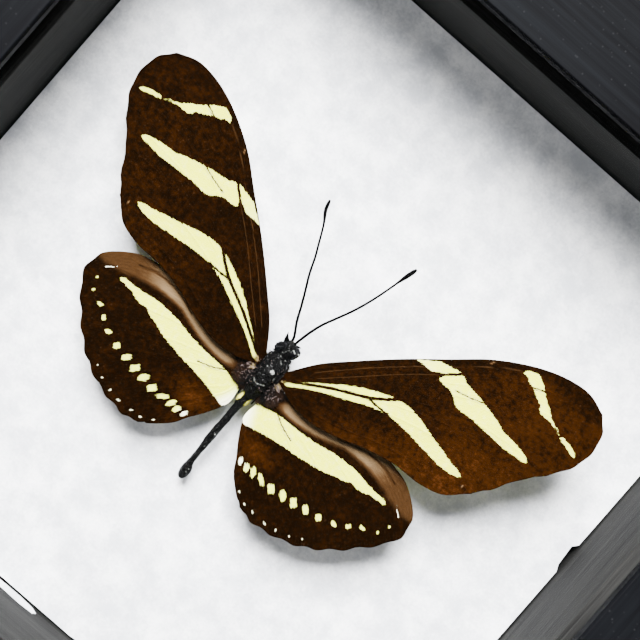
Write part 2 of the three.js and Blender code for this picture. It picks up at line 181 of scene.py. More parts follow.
def finish_mesh(name: str, bm: BMesh, smooth: bool = True) -> Piece:
    """Turns a finished bmesh into a piece of the scene.

    Args:
        name: The piece's name.
        bm: The bmesh, in metres, which is freed.
        smooth: True for smooth shading.

    Returns:
        The new object, at the origin.
    """
    mesh = bpy.data.meshes.new(name)
    bm.to_mesh(mesh)
    bm.free()
    mesh.polygons.foreach_set("use_smooth", [smooth] * len(mesh.polygons))
    piece = bpy.data.objects.new(name, mesh)
    bpy.context.scene.collection.objects.link(piece)
    return piece


def raised(corners: Sequence[Sequence[float]], shift: Vector) -> tuple[BMesh, list[BMVert], list[BMVert]]:
    """Extrudes a flat outline into a block.

    Args:
        corners: The outline's corners in metres.
        shift: The way from the outline to its copy.

    Returns:
        The block, the outline's corners and the copy's.
    """
    bm = bmesh.new()
    near = [bm.verts.new(corner) for corner in corners]
    grown = bmesh.ops.extrude_face_region(bm, geom=[bm.faces.new(near)])["geom"]
    far = [g for g in grown if isinstance(g, BMVert)]
    bmesh.ops.translate(bm, vec=shift, verts=far)
    return bm, near, far


def drawn_out(around: int, rows: int, place: Callable[[int, float], Vector]) -> BMesh:
    """Draws a ring out row by row into a skin that is closed at both ends.

    Args:
        around: Corners of the ring.
        rows: Number of rows.
        place: Gives the place in metres of a row's corner at an angle.

    Returns:
        The skin.
    """
    bm = bmesh.new()
    ring = bmesh.ops.create_circle(bm, cap_ends=False, segments=around, radius=1.0)["verts"]
    edges = list({edge for vert in ring for edge in vert.link_edges})
    angles = {vert: math.atan2(vert.co.y, vert.co.x) for vert in ring}
    for row in range(rows):
        if row > 0:
            known = {tuple(vert.co): angle for vert, angle in angles.items()}
            grown = bmesh.ops.extrude_edge_only(bm, edges=edges)["geom"]
            edges = [g for g in grown if isinstance(g, bmesh.types.BMEdge)]
            angles = {g: known[tuple(g.co)] for g in grown if isinstance(g, BMVert)}
        for vert, angle in angles.items():
            vert.co = place(row, angle)
        if row in (0, rows - 1):
            bmesh.ops.contextual_create(bm, geom=edges)
    return bm


def put_values(piece: Piece, name: str, values: np.ndarray) -> None:
    """Stores one number per vertex under a name that a material can read."""
    layer = piece.data.attributes.new(name, "FLOAT", "POINT")
    layer.data.foreach_set("value", np.asarray(values, dtype=np.float32))


def dress(mesh: bpy.types.Mesh, material: Material) -> None:
    """Gives a mesh one material."""
    mesh.materials.clear()
    mesh.materials.append(material)


def install(piece: Piece, material: Material, slot: str, *nodes: str) -> None:
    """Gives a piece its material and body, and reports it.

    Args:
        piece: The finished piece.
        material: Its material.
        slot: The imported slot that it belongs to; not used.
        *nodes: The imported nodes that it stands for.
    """
    dress(piece.data, material)
    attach(piece, "root")
    if nodes:
        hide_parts(*nodes)
    LOG.info("%s has %d faces", piece.name, len(piece.data.polygons))


def colour(red: int, green: int, blue: int) -> Colour:
    """Linear colour of an everyday 0 to 255 screen colour."""
    shares = (channel / 255.0 for channel in (red, green, blue))
    return (*(s / 12.92 if s <= 0.04045 else ((s + 0.055) / 1.055) ** 2.4 for s in shares), 1.0)


class Nodes:
    """A node tree under construction: a short way to add nodes and join them."""

    def __init__(self, tree: bpy.types.NodeTree, place: Socket) -> None:
        """Takes the tree and the coordinates that its patterns read."""
        self.tree = tree
        self.place = place

    def add(self, kind: str, inputs: dict[str | int, object], **settings: object) -> bpy.types.Node:
        """Adds a node.

        Args:
            kind: The node's type.
            inputs: An output to join to, or a plain value, for each input.
            **settings: The node's properties.

        Returns:
            The node.
        """
        node = self.tree.nodes.new(kind)
        for key, value in settings.items():
            setattr(node, key, value)
        for key, value in inputs.items():
            self.feed(node.inputs[key], value)
        return node

    def feed(self, socket: Socket, value: object) -> None:
        """Fills a socket.

        Args:
            socket: The socket.
            value: An output to join to it, or a plain value.
        """
        if isinstance(value, Socket):
            self.tree.links.new(value, socket)
        else:
            socket.default_value = value

    def noise(self, scale: float, detail: float = 3.0, roughness: float = 0.5,
              vector: Socket | None = None) -> Socket:
        """A noise pattern from 0 to 1."""
        inputs = {"Vector": vector or self.place, "Scale": scale, "Detail": detail, "Roughness": roughness}
        return self.add("ShaderNodeTexNoise", inputs).outputs["Fac"]

    def cells(self, scale: object) -> Socket:
        """Distance to the middles of random cells."""
        return self.add("ShaderNodeTexVoronoi", {"Vector": self.place, "Scale": scale}).outputs["Distance"]

    def sum(self, operation: str, first: object, second: object, third: object = 0.0) -> Socket:
        """One step of arithmetic."""
        return self.add("ShaderNodeMath", {0: first, 1: second, 2: third}, operation=operation).outputs[0]


def dust_group() -> bpy.types.NodeTree:
    """Builds the fine dust that settles on paper, wood and wings alike; on the insect's skin its grains are pale
    specks, partly painted glints.

    Returns:
        A node group with inputs Vector, Scale and Amount and the output Mask.
    """
    tree = bpy.data.node_groups.new("fine_dust", "ShaderNodeTree")
    for name, way, kind in (("Vector", "INPUT", "Vector"), ("Scale", "INPUT", "Float"),
                            ("Amount", "INPUT", "Float"), ("Mask", "OUTPUT", "Float")):
        tree.interface.new_socket(name, in_out=way, socket_type=f"NodeSocket{kind}")
    start = tree.nodes.new("NodeGroupInput")
    nodes = Nodes(tree, start.outputs["Vector"])
    grain_size = {"Value": nodes.cells(start.outputs["Scale"]), "From Min": 0.16, "From Max": 0.05}
    grains = nodes.add("ShaderNodeMapRange", grain_size).outputs["Result"]
    where = nodes.sum("MULTIPLY", grains, nodes.noise(90.0, 2.0))
    nodes.add("NodeGroupOutput", {"Mask": nodes.sum("MULTIPLY", where, start.outputs["Amount"])})
    return tree


DUST_AND_GLINT_GRAINS = dust_group()


class Shade(Nodes):
    """A material under construction."""

    def __init__(self, name: str) -> None:
        """Starts a node material with one Principled shader.

        Args:
            name: The material's name.
        """
        self.material = bpy.data.materials.new(name)
        self.material.use_nodes = True
        tree = self.material.node_tree
        super().__init__(tree, tree.nodes.new("ShaderNodeTexCoord").outputs["Object"])

    def value(self, name: str) -> Socket:
        """A number stored on the mesh."""
        return self.add("ShaderNodeAttribute", {}, attribute_name=name).outputs["Fac"]

    def grain(self, along: int, across_scale: float, along_scale: float, detail: float,
              roughness: float) -> Socket:
        """Noise drawn out along one axis.

        Args:
            along: The axis, X (0) or Y (1).
            across_scale: The noise's scale across that axis.
            along_scale: Its scale along the axis.
            detail: Its finer layers.
            roughness: How strong those are.

        Returns:
            The noise, from 0 to 1.
        """
        scale = [across_scale] * 3
        scale[along] = along_scale
        drawn = self.add("ShaderNodeMapping", {"Vector": self.place, "Scale": scale}).outputs["Vector"]
        return self.noise(1.0, detail, roughness, drawn)

    def blend(self, first: object, first_weight: float, second: object, second_weight: float) -> Socket:
        """The weighted sum of two patterns."""
        weighed = self.sum("MULTIPLY", first, first_weight)
        return self.sum("ADD", weighed, self.sum("MULTIPLY", second, second_weight))

    def centred(self, pattern: object) -> Socket:
        """A pattern moved to lie about zero."""
        return self.sum("SUBTRACT", pattern, 0.5)

    def step(self, value: object, low: float, high: float, bottom: float = 0.0, top: float = 1.0) -> Socket:
        """A smooth ramp of a number between two limits."""
        inputs = {"Value": value, "From Min": low, "From Max": high, "To Min": bottom, "To Max": top}
        return self.add("ShaderNodeMapRange", inputs, interpolation_type="SMOOTHSTEP").outputs["Result"]

    def mix(self, share: object, first: object, second: object) -> Socket:
        """A blend of two colours."""
        return self.add("ShaderNodeMix", {0: share, 6: first, 7: second}, data_type="RGBA").outputs[2]

    def dusty(self, base: object, scale: float, amount: float, dust: Colour) -> Socket:
        """A colour with fine dust on it; on the insect's skin, pale specks that are partly painted glints.

        Args:
            base: The clean colour.
            scale: Scale of the grains.
            amount: How strongly they show.
            dust: The dust's colour.

        Returns:
            The colour.
        """
        inputs = {"Vector": self.place, "Scale": scale, "Amount": amount}
        mask = self.add("ShaderNodeGroup", inputs, node_tree=DUST_AND_GLINT_GRAINS).outputs["Mask"]
        return self.mix(mask, base, dust)

    def bump(self, height: object, depth: float, normal: object = None) -> Socket:
        """A bump of a real depth.

        Args:
            height: Pattern of the heights, from 0 to 1.
            depth: Height of 1 in metres.
            normal: Output of another bump that this one joins, or None.

        Returns:
            The bent normal.
        """
        inputs = {"Strength": 1.0, "Distance": depth, "Height": height}
        if normal is not None:
            inputs["Normal"] = normal
        return self.add("ShaderNodeBump", inputs).outputs["Normal"]

    def close(self, base: object, roughness: object, normal: object = None, gloss: float = 0.5,
              metallic: float = 0.0, alpha: float = 1.0) -> Material:
        """Joins everything to the shader.

        Args:
            base: Colour.
            roughness: Roughness.
            normal: Output of a bump, or None for a smooth face.
            gloss: Strength of the shine of what isn't metal.
            metallic: 1 for metal.
            alpha: How solid it looks.

        Returns:
            The material.
        """
        inputs = {"Base Color": base, "Roughness": roughness, "Normal": normal,
                  "Specular IOR Level": gloss, "Metallic": metallic, "Alpha": alpha}
        surface = self.tree.nodes["Principled BSDF"]
        for key, value in inputs.items():
            if value is not None:
                self.feed(surface.inputs[key], value)
        return self.material


@dataclass(frozen=True)
class BlackWood:
    """Black satin paint over a close wood grain."""

    ink: Colour = colour(3, 3, 4)
    worn: Colour = colour(8, 9, 11)
    dust: Colour = colour(60, 60, 62)

    def build(self, name: str, along: int) -> Material:
        """Makes the paint.

        Args:
            name: The material's name.
            along: 0 where the strip's grain runs along X, 1 where it runs along Y.

        Returns:
            The material.
        """
        shade = Shade(name)
        grain = shade.grain(along, 900.0, 26.0, 5.0, 0.62)
        cloud = shade.noise(60.0, 3.0)
        tone = shade.blend(grain, 0.7, cloud, 0.45)
        base = shade.mix(shade.step(tone, 0.38, 0.82), self.ink, self.worn)
        base = shade.dusty(base, 900.0, 0.16, self.dust)
        sheen = shade.step(cloud, 0.3, 0.7, 0.45, 0.6)
        return shade.close(base, sheen, shade.bump(grain, 0.00004), gloss=0.02)


@dataclass(frozen=True)
class OpenGrain:
    """Stained wood whose open pores run along the strip."""

    dark: Colour = colour(15, 15, 15)
    light: Colour = colour(37, 37, 36)

    def build(self, name: str, along: int) -> Material:
        """Makes the stain.

        Args:
            name: The material's name.
            along: 0 where the strip's grain runs along X, 1 where it runs along Y.

        Returns:
            The material.
        """
        shade = Shade(name)
        fibres = shade.grain(along, 2600.0, 55.0, 5.0, 0.65)
        rings = shade.grain(along, 620.0, 40.0, 4.0, 0.6)
        base = shade.mix(shade.step(shade.blend(fibres, 0.75, rings, 0.35), 0.36, 0.78), self.dark, self.light)
        return shade.close(base, 0.7, shade.bump(fibres, 0.00006), gloss=0.03)


@dataclass(frozen=True)
class MattPaper:
    """White backing paper with soft clouds and fibres."""

    white: Colour = colour(251, 252, 254)
    shadow: Colour = colour(196, 199, 205)
    dust: Colour = colour(120, 118, 112)

    def build(self, name: str) -> Material:
        """Makes the paper."""
        shade = Shade(name)
        tone = shade.blend(shade.noise(240.0, 6.0, 0.6), 0.7, shade.noise(2200.0, 4.0, 0.7), 0.3)
        base = shade.mix(shade.step(tone, 0.35, 0.7), self.shadow, self.white)
        return shade.close(shade.dusty(base, 260.0, 0.1, self.dust), 0.95, shade.bump(tone, 0.00005), gloss=0.2)


@dataclass(frozen=True)
class WingScales:
    """Brown-black wing scales with lemon bands, read from numbers on the mesh."""

    dark: Colour = colour(6, 2, 0)
    brown: Colour = colour(28, 11, 1)
    warm: Colour = colour(47, 23, 6)
    fleck: Colour = colour(78, 48, 25)
    lemon: Colour = colour(206, 213, 0)
    fringe: Colour = colour(180, 182, 84)
    cream: Colour = colour(240, 239, 214)
    umber: Colour = colour(43, 27, 12)
    tan: Colour = colour(86, 69, 48)
    dust: Colour = colour(104, 76, 54)

    def build(self, name: str) -> Material:
        """Makes the scales.

        Args:
            name: The material's name.

        Returns:
            The material.
        """
        shade = Shade(name)
        reach = shade.sum("MULTIPLY", shade.value("reach"), 0.9)
        across = shade.sum("MULTIPLY", shade.value("across"), 5.0)
        place = shade.add("ShaderNodeCombineXYZ", {0: reach, 1: across}).outputs[0]
        streaks = shade.noise(1.0, 3.0, 0.6, place)
        grit = shade.noise(6500.0, 2.0, 0.6)
        jitter = shade.blend(shade.centred(grit), 0.2, shade.centred(streaks), 0.6)
        patch = shade.noise(1500.0, 5.0, 0.65)
        mottle = shade.sum("SUBTRACT", shade.blend(patch, 0.65, shade.noise(330.0, 4.0, 0.6), 0.3), 0.475)
        # The number warm is brown wear, and on the right forewing also painted sheen; the browns below follow it.
        worn = shade.sum("MULTIPLY_ADD", shade.value("warm"), 0.5, 0.4)
        rubbed_and_sheen = shade.sum("MULTIPLY_ADD", shade.value("warm"), 0.16, shade.sum("MULTIPLY", mottle, worn))
        ground = self.dark
        for low, high, tint in ((-0.03, 0.13, self.brown), (0.12, 0.25, self.warm), (0.22, 0.36, self.fleck)):
            ground = shade.mix(shade.step(rubbed_and_sheen, low, high), ground, tint)
        ground = shade.mix(shade.step(streaks, 0.45, 0.7, 0.0, 0.35), ground, self.dark)
        # The number tan holds tan scales and, on the forewing, painted vein highlights.
        bloom = shade.sum("ADD", shade.value("tan"), shade.sum("MULTIPLY", jitter, 0.8))
        ground = shade.mix(shade.step(bloom, 0.0, 0.55), ground, self.umber)
        ground = shade.mix(shade.step(bloom, 0.4, 1.0), ground, self.tan)
        depth = shade.sum("ADD", shade.value("light"), jitter)
        pale = shade.mix(shade.step(depth, 0.0, 0.24), self.fringe, self.lemon)
        pale = shade.mix(shade.value("white"), pale, self.cream)
        pale = shade.mix(shade.step(patch, 0.45, 0.75, 0.0, 0.16), pale, self.cream)
        base = shade.mix(shade.step(depth, -0.02, 0.02), ground, pale)
        normal = shade.bump(grit, 0.00005, shade.bump(streaks, 0.00006))
        rough = shade.step(patch, 0.3, 0.7, 0.62, 0.8)
        return shade.close(shade.dusty(base, 1300.0, 0.11, self.dust), rough, normal, gloss=0.004)


@dataclass(frozen=True)
class Cuticle:
    """Black insect skin, wrinkled and half shiny, with pale scale dots, a painted highlight on its fold crests
    and pale specks that are partly painted glints.
    """

    black: Colour = colour(3, 3, 3)
    grey: Colour = colour(10, 9, 9)
    pale: Colour = colour(132, 135, 130)
    lemon: Colour = colour(196, 192, 84)
    stray: Colour = colour(92, 90, 86)

    def build(self, name: str, dotted: bool, wrinkle: float = 900.0, gloss: float = 0.05) -> Material:
        """Makes the skin.

        Args:
            name: The material's name.
            dotted: True where the mesh holds the numbers pale and lemon.
            wrinkle: Scale of the wrinkles.
            gloss: How strongly the skin shines.

        Returns:
            The material.
        """
        shade = Shade(name)
        folds = shade.noise(wrinkle, 5.0, 0.62)
        # The lighter colour on the raised fold crests is a painted highlight.
        base = shade.mix(shade.step(folds, 0.48, 0.78), self.black, self.grey)
        if dotted:
            jitter = shade.sum("MULTIPLY", shade.centred(shade.noise(3200.0)), 0.3)
            edge = shade.sum("ADD", shade.value("pale"), jitter)
            tint = shade.mix(shade.value("lemon"), self.pale, self.lemon)
            base = shade.mix(shade.step(edge, -0.05, 0.07), base, tint)
        rough = shade.step(folds, 0.3, 0.75, 0.2, 0.36)
        normal = shade.bump(shade.cells(5200.0), 0.00004, shade.bump(folds, 0.0006))
        # The pale specks are partly real pale scales and partly painted glints of the shiny skin.
        return shade.close(shade.dusty(base, 2300.0, 0.6, self.stray), rough, normal, gloss)


@dataclass
class StripForm:
    """Cross-section of a wooden strip, as [distance from the centre line, height] in mm."""

    profile: list[Pair]
    edge: float
    mitre_gap: float = 0.002

    def build(self, name: str, turns: int) -> Piece:
        """Extrudes the section, mitres its ends and rounds its long edges.

        Args:
            name: The piece's name.
            turns: Quarter turns from the top side of the case.

        Returns:
            The strip.
        """
        bm, near, far = raised([(0.0, d * MM, z * MM) for d, z in self.profile], Vector())
        for sign, ends in ((-1, near), (1, far)):
            for vert in ends:
                vert.co.x = sign * (vert.co.y - self.mitre_gap * MM)
        bmesh.ops.recalc_face_normals(bm, faces=bm.faces)
        long_edges = [e for e in bm.edges if abs((e.verts[0].co - e.verts[1].co).normalized().x) > 0.99]
        bmesh.ops.bevel(bm, geom=long_edges, offset=self.edge * MM, offset_type="OFFSET", segments=3,
                        profile=0.5, affect="EDGES", material=-1)
        turn = Matrix.Rotation(turns * math.pi / 2, 3, "Z")
        bmesh.ops.rotate(bm, verts=bm.verts, cent=(0, 0, 0), matrix=turn)
        return finish_mesh(name, bm, smooth=False)

    def lay(self, node: str, label: str, finish: BlackWood | OpenGrain, coat: str, slot: str) -> None:
        """Lays one strip along each side of the case.

        Args:
            node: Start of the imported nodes' names.
            label: Start of the pieces' names.
            finish: The strips' finish.
            coat: Start of the materials' names.
            slot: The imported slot.
        """
        for turns, side in enumerate(SIDE_NAMES):
            material = finish.build(f"{coat}_{side}", turns % 2)
            install(self.build(f"{label}_{side}", turns), material, slot, f"{node}_{side}")


SIDE_NAMES = ("top", "left", "bottom", "right")


def slab(name: str, outline: Sequence[Pair], bottom: float, top: float) -> Piece:
    """Raises an outline into a flat board.

    Args:
        name: The board's name.
        outline: Its corners in mm.
        bottom: Height of its underside in metres.
        top: Height of its upper side in metres.

    Returns:
        The board.
    """
    bm = raised([(x * MM, y * MM, bottom) for x, y in outline], Vector((0.0, 0.0, top - bottom)))[0]
    bmesh.ops.recalc_face_normals(bm, faces=bm.faces)
    return finish_mesh(name, bm, smooth=False)


@dataclass
class ShadowBox:
    """The case: rails, liner strips, backing, glass and back."""

    wood: BlackWood = field(default_factory=BlackWood)
    liner: OpenGrain = field(default_factory=OpenGrain)
    paper: MattPaper = field(default_factory=MattPaper)
    rebate: float = 54.1
    lip_inner: float = 51.6
    lip_thick: float = 2.0
    lip_slope: Pair = (0.3, 0.4)
    chamfer: float = 1.0
    torn_edge: tuple[Pair, ...] = ((-49.0, 0.0), (-6.0, 0.0), (-3.6, 0.5), (-2.7, 1.5), (-3.1, 2.2),
                                   (-5.6, 2.5),
                                   (-9.0, 2.1), (-14.0, 2.3), (-30.0, 1.9), (-49.0, 2.2))

    def build(self) -> None:
        """Builds every piece of the case."""
        self.build_rails()
        self.build_liner()
        self.build_backing()
        self.build_torn_strip()
        self.build_glass()
        self.dress_back()

    def build_rails(self) -> None:
        """Rails with a chamfered outer edge and a lip over the glass."""
        outer, depth = np.array(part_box("rail_top")[1][1:]) / MM
        low = depth - self.lip_thick
        StripForm([(self.rebate, 0.0), (outer, 0.0), (outer, depth - self.chamfer),
                   (outer - self.chamfer, depth),
                   (self.lip_inner + self.lip_slope[0], depth), (self.lip_inner, depth - self.lip_slope[1]),
                   (self.lip_inner, low), (self.rebate, low)],
                  edge=0.12).lay("rail", "painted_rail", self.wood, "rail_paint", "case_wood")

    def build_liner(self) -> None:
        """Liner strips that hold the glass off the backing."""
        (_, inner, bottom), (_, outer, top) = np.array(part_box("liner_top")) / MM
        StripForm([(inner, bottom), (outer, bottom), (outer, top), (inner, top)],
                  edge=0.1).lay("liner", "grained_liner", self.liner, "liner_stain", "liner_wood")

    def build_backing(self) -> None:
        """The white sheet on its foam, both cut by hand a little short of the walls."""
        low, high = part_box("backing_sheet")
        half = high[0] / MM
        outline = [(-half, half), (half, half), (half - 0.05, 7.4), (half - 0.75, 6.6), (half - 0.5, 3.4),
                   (half - 0.02, 2.4), (half - 0.05, -half + 0.24), (4.6, -half + 0.2),
                   (3.2, -half + 0.06), (-9.5, -half + 0.26), (-30.0, -half + 0.2), (-half, -half + 0.24)]
        install(slab("cut_backing_sheet", outline, low[2], high[2]), self.paper.build("backing_paper"),
                "sheet", "backing_sheet")
        shade = Shade("foam_cells")
        cells = shade.cells(2400.0)
        base = shade.mix(shade.step(cells, 0.1, 0.6), colour(222, 222, 220), colour(246, 246, 244))
        foam = shade.close(base, 0.85, shade.bump(cells, 0.0001))
        install(slab("cut_foam_board", outline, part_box("foam_board")[0][2], low[2]), foam, "foam", "foam_board")

    def build_torn_strip(self) -> None:
        """A strip of the sheet that was torn off and leans on the lower wall."""
        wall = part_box("liner_bottom")[1][1] + 0.16 * MM
        corners = [(x * MM, wall, (BED + z) * MM) for x, z in self.torn_edge]
        bm = raised(corners, Vector((0.0, -0.12 * MM, 0.0)))[0]
        bmesh.ops.recalc_face_normals(bm, faces=bm.faces)
        install(finish_mesh("torn_paper_strip", bm, smooth=False), self.paper.build("torn_paper"), "sheet")

    def build_glass(self) -> None:
        """A clear pane with ground edges."""
        low, high = map(Vector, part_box("glass_pane"))
        bm = bmesh.new()
        bmesh.ops.create_cube(bm, size=1.0)
        bmesh.ops.scale(bm, vec=high - low, verts=bm.verts)
        bmesh.ops.translate(bm, vec=(low + high) / 2, verts=bm.verts)
        bmesh.ops.bevel(bm, geom=bm.edges[:], offset=0.15 * MM, offset_type="OFFSET", segments=2,
                        profile=0.5, affect="EDGES", material=-1)
        shade = Shade("clear_pane")
        haze = shade.noise(30.0, 2.0)
        tint = shade.mix(haze, colour(2, 4, 3), colour(5, 8, 7))
        pane = shade.close(tint, 0.04, shade.bump(haze, 0.000002), alpha=0.04)
        install(finish_mesh("clear_pane", bm, smooth=False), pane, "pane", "glass_pane")

    def dress_back(self) -> None:
        """Hardboard back and its four steel tabs."""
        shade = Shade("hardboard")
        fibres = shade.noise(1500.0, 5.0, 0.7)
        base = shade.mix(shade.step(fibres, 0.3, 0.75), colour(70, 50, 34), colour(118, 90, 64))
        base = shade.mix(shade.sum("MULTIPLY", shade.noise(70.0, 3.0), 0.35), base, colour(60, 42, 30))
        dress(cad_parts["case_back"].data, shade.close(base, 0.75, shade.bump(fibres, 0.00008)))
        shade = Shade("tab_steel")
        brushed = shade.grain(0, 300.0, 4000.0, 3.0, 0.6)
        base = shade.mix(brushed, colour(150, 150, 148), colour(196, 196, 192))
        steel = shade.close(base, shade.step(brushed, 0.2, 0.8, 0.28, 0.45), shade.bump(brushed, 0.00002),
                            metallic=1.0)
        for side in SIDE_NAMES:
            dress(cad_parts[f"tab_{side}"].data, steel)


@dataclass(frozen=True)
class Vein:
    """A vein from root to margin.

    Its path gives (share of the way out, share of the way across) pairs, and its
    ridge starts at the given share of the way out.
    """

    start: float
    path: tuple[Pair, ...]

    def across(self, reach: np.ndarray) -> np.ndarray:
        """Place across the wing at each share of the way out."""
        shares, places = zip(*self.path)
        return np.interp(reach, shares, places)


@dataclass(frozen=True)
class Spot:
    """A light spot: middle, half sizes, slant in degrees and squareness of its oval."""

    x: float
    y: float
    half_width: float
    half_height: float
    slant: float = 0.0
    square: float = 2.0

    def depth(self, spots: np.ndarray) -> np.ndarray:
        """How deep each spot lies inside the oval.

        Args:
            spots: Places in mm, one row each.

        Returns:
            The depths in mm, negative outside.
        """
        turn = math.radians(self.slant)
        dx = spots[:, 0] - self.x
        dy = spots[:, 1] - self.y
        along = np.abs(dx * math.cos(turn) + dy * math.sin(turn)) / self.half_width
        up = np.abs(-dx * math.sin(turn) + dy * math.cos(turn)) / self.half_height
        size = (along ** self.square + up ** self.square) ** (1.0 / self.square)
        return (1.0 - size) * min(self.half_width, self.half_height)


@dataclass(frozen=True)
class Stroke:
    """A line of even half width, light or dark."""

    points: tuple[Pair, ...]
    half_width: float

    def depth(self, spots: np.ndarray) -> np.ndarray:
        """How deep each spot lies inside the line, negative outside."""
        return self.half_width - distance_to_line(spots, smooth_line(self.points, per_span=5))


@dataclass(frozen=True)
class WingPlan:
    """Outline, veins and markings of one pair of wings, for the right wing in mm."""

    label: str
    costa: tuple[Pair, ...]
    margin: tuple[Pair, ...]
    inner: tuple[Pair, ...]
    veins: tuple[Vein, ...]
    scallop: float
    root_height: float
    bands: tuple[tuple[Pair, ...], ...]
    spots: tuple[Spot, ...]
    light_strokes: tuple[Stroke, ...]
    dark_strokes: tuple[Stroke, ...]
    shade_areas: Callable[[np.ndarray], Areas]


@dataclass(frozen=True)
class Placing:
    """How one wing lies: rise per mm, swing in degrees, drop along Y, width and warmth of its brown; the right
    forewing's high warmth is partly painted sheen.
    """

    slope: float
    swing: float
    drop: float
    width: float
    warmth: float


MARK_SHIFT = 0.27

FAINT_FLECKS = (Spot(22.2, 18.75, 0.36, 0.09, 60), Spot(30.1, 3.1, 0.1, 0.26, 10))

# Pale hairlines along the costal veins: a painted highlight on the vein ridges, stored in the number tan.
COSTAL_VEIN_HIGHLIGHTS = (
    Stroke(((4.6, 1.6), (8.65, 5.83), (13.35, 10.33), (18.35, 14.63), (23.0, 18.6), (27.0, 21.2)), 0.05),
    Stroke(((5.4, 1.2), (9.35, 5.0), (14.0, 9.5), (18.8, 13.6)), 0.04),
)


def fore_areas(spots: np.ndarray) -> Areas:
    """Shades the forewing.

    Args:
        spots: Places in mm on the right wing, one row each.

    Returns:
        Whiteness of the bands, strength of the tan, which here also holds painted vein highlights, and warmth of
        the brown at each place.
    """
    x, y = spots.T
    white = 0.12 * (1.0 - smoothstep(15.5, 18.5, x)) * smoothstep(9.0, 11.0, y)
    tan = np.zeros(len(spots))
    for fleck in FAINT_FLECKS:
        tan = np.maximum(tan, smoothstep(-0.08, 0.08, fleck.depth(spots)))
    # The costal hairlines add painted vein highlight to tan.
    for line in COSTAL_VEIN_HIGHLIGHTS:
        tan = np.maximum(tan, 0.34 * smoothstep(-0.06, 0.04, line.depth(spots)))
    below_costa = 23.6 - y + np.minimum(x - 28.5, 0.0) * 0.8
    worn = np.maximum(smoothstep(8.0, 20.0, below_costa), 0.5 * smoothstep(17.0, 27.0, x))
    warm = smoothstep(0.2, 3.0, below_costa) * (0.12 + 0.88 * worn) * smoothstep(1.0, 9.0, x)
    return white, tan, warm


TAN_STRIPE = ((3.0, -4.6), (5.0, -4.75), (7.0, -4.75), (9.0, -4.5), (10.5, -4.2), (12.0, -3.75), (14.0, -3.1),
              (17.0, -2.2))

TAN_AREA = (
    (12.5, -3.75), (15.0, -3.45), (17.0, -3.4), (19.0, -3.55), (21.0, -3.9), (23.0, -4.5), (24.5, -5.0),
    (26.2, -5.3), (27.8, -5.4), (28.8, -4.8), (27.6, -3.6), (24.5, -1.5), (20.0, -0.4), (15.5, -0.5),
    (13.0, -2.6),
)

TAN_CREASE = ((13.2, -3.4), (14.9, -2.75), (17.0, -2.2), (19.0, -2.05), (21.0, -2.2), (23.2, -2.9))


def hind_areas(spots: np.ndarray) -> Areas:
    """Shades the hindwing.

    Args:
        spots: Places in mm on the right wing, one row each.

    Returns:
        Whiteness of the bands, strength of the tan and warmth of the brown at each place.
    """
    x, y = spots.T
    white = 0.85 * (1.0 - smoothstep(1.2, 3.5, x + 0.5 * (y + 9.5)))
    first_spot = np.exp(-((x - 4.9) ** 2 + (y + 14.65) ** 2) / 0.5)
    border = 0.7 * smoothstep(16.4, 17.0, -y)
    streak = smoothstep(25.0, 25.3, x) * smoothstep(-7.0, -6.6, y)
    white = np.maximum.reduce([white * (y > -12.0), first_spot, border, streak])
    stripe = 0.6 - distance_to_line(spots, smooth_line(TAN_STRIPE))
    depth = np.maximum(stripe, depth_inside(spots, TAN_AREA))
    fade = 1.0 - 0.6 * smoothstep(16.5, 24.0, x + 0.35 * (-y - 2.0))
    crease = 1.0 - 0.6 * np.exp(-(distance_to_line(spots, smooth_line(TAN_CREASE)) / 0.16) ** 2)
    tan = smoothstep(-0.8, 0.35, depth) * fade * crease * smoothstep(2.5, 6.0, x)
    inner = np.exp(-((x - 5.5) / 3.2) ** 2 - ((y + 12.3) / 1.6) ** 2)
    rim = 1.0 - smoothstep(0.0, 4.5, x - 2.0 + 0.25 * (y + 10.5))
    return white, tan, np.maximum(4.0 * inner, 1.3 * rim)


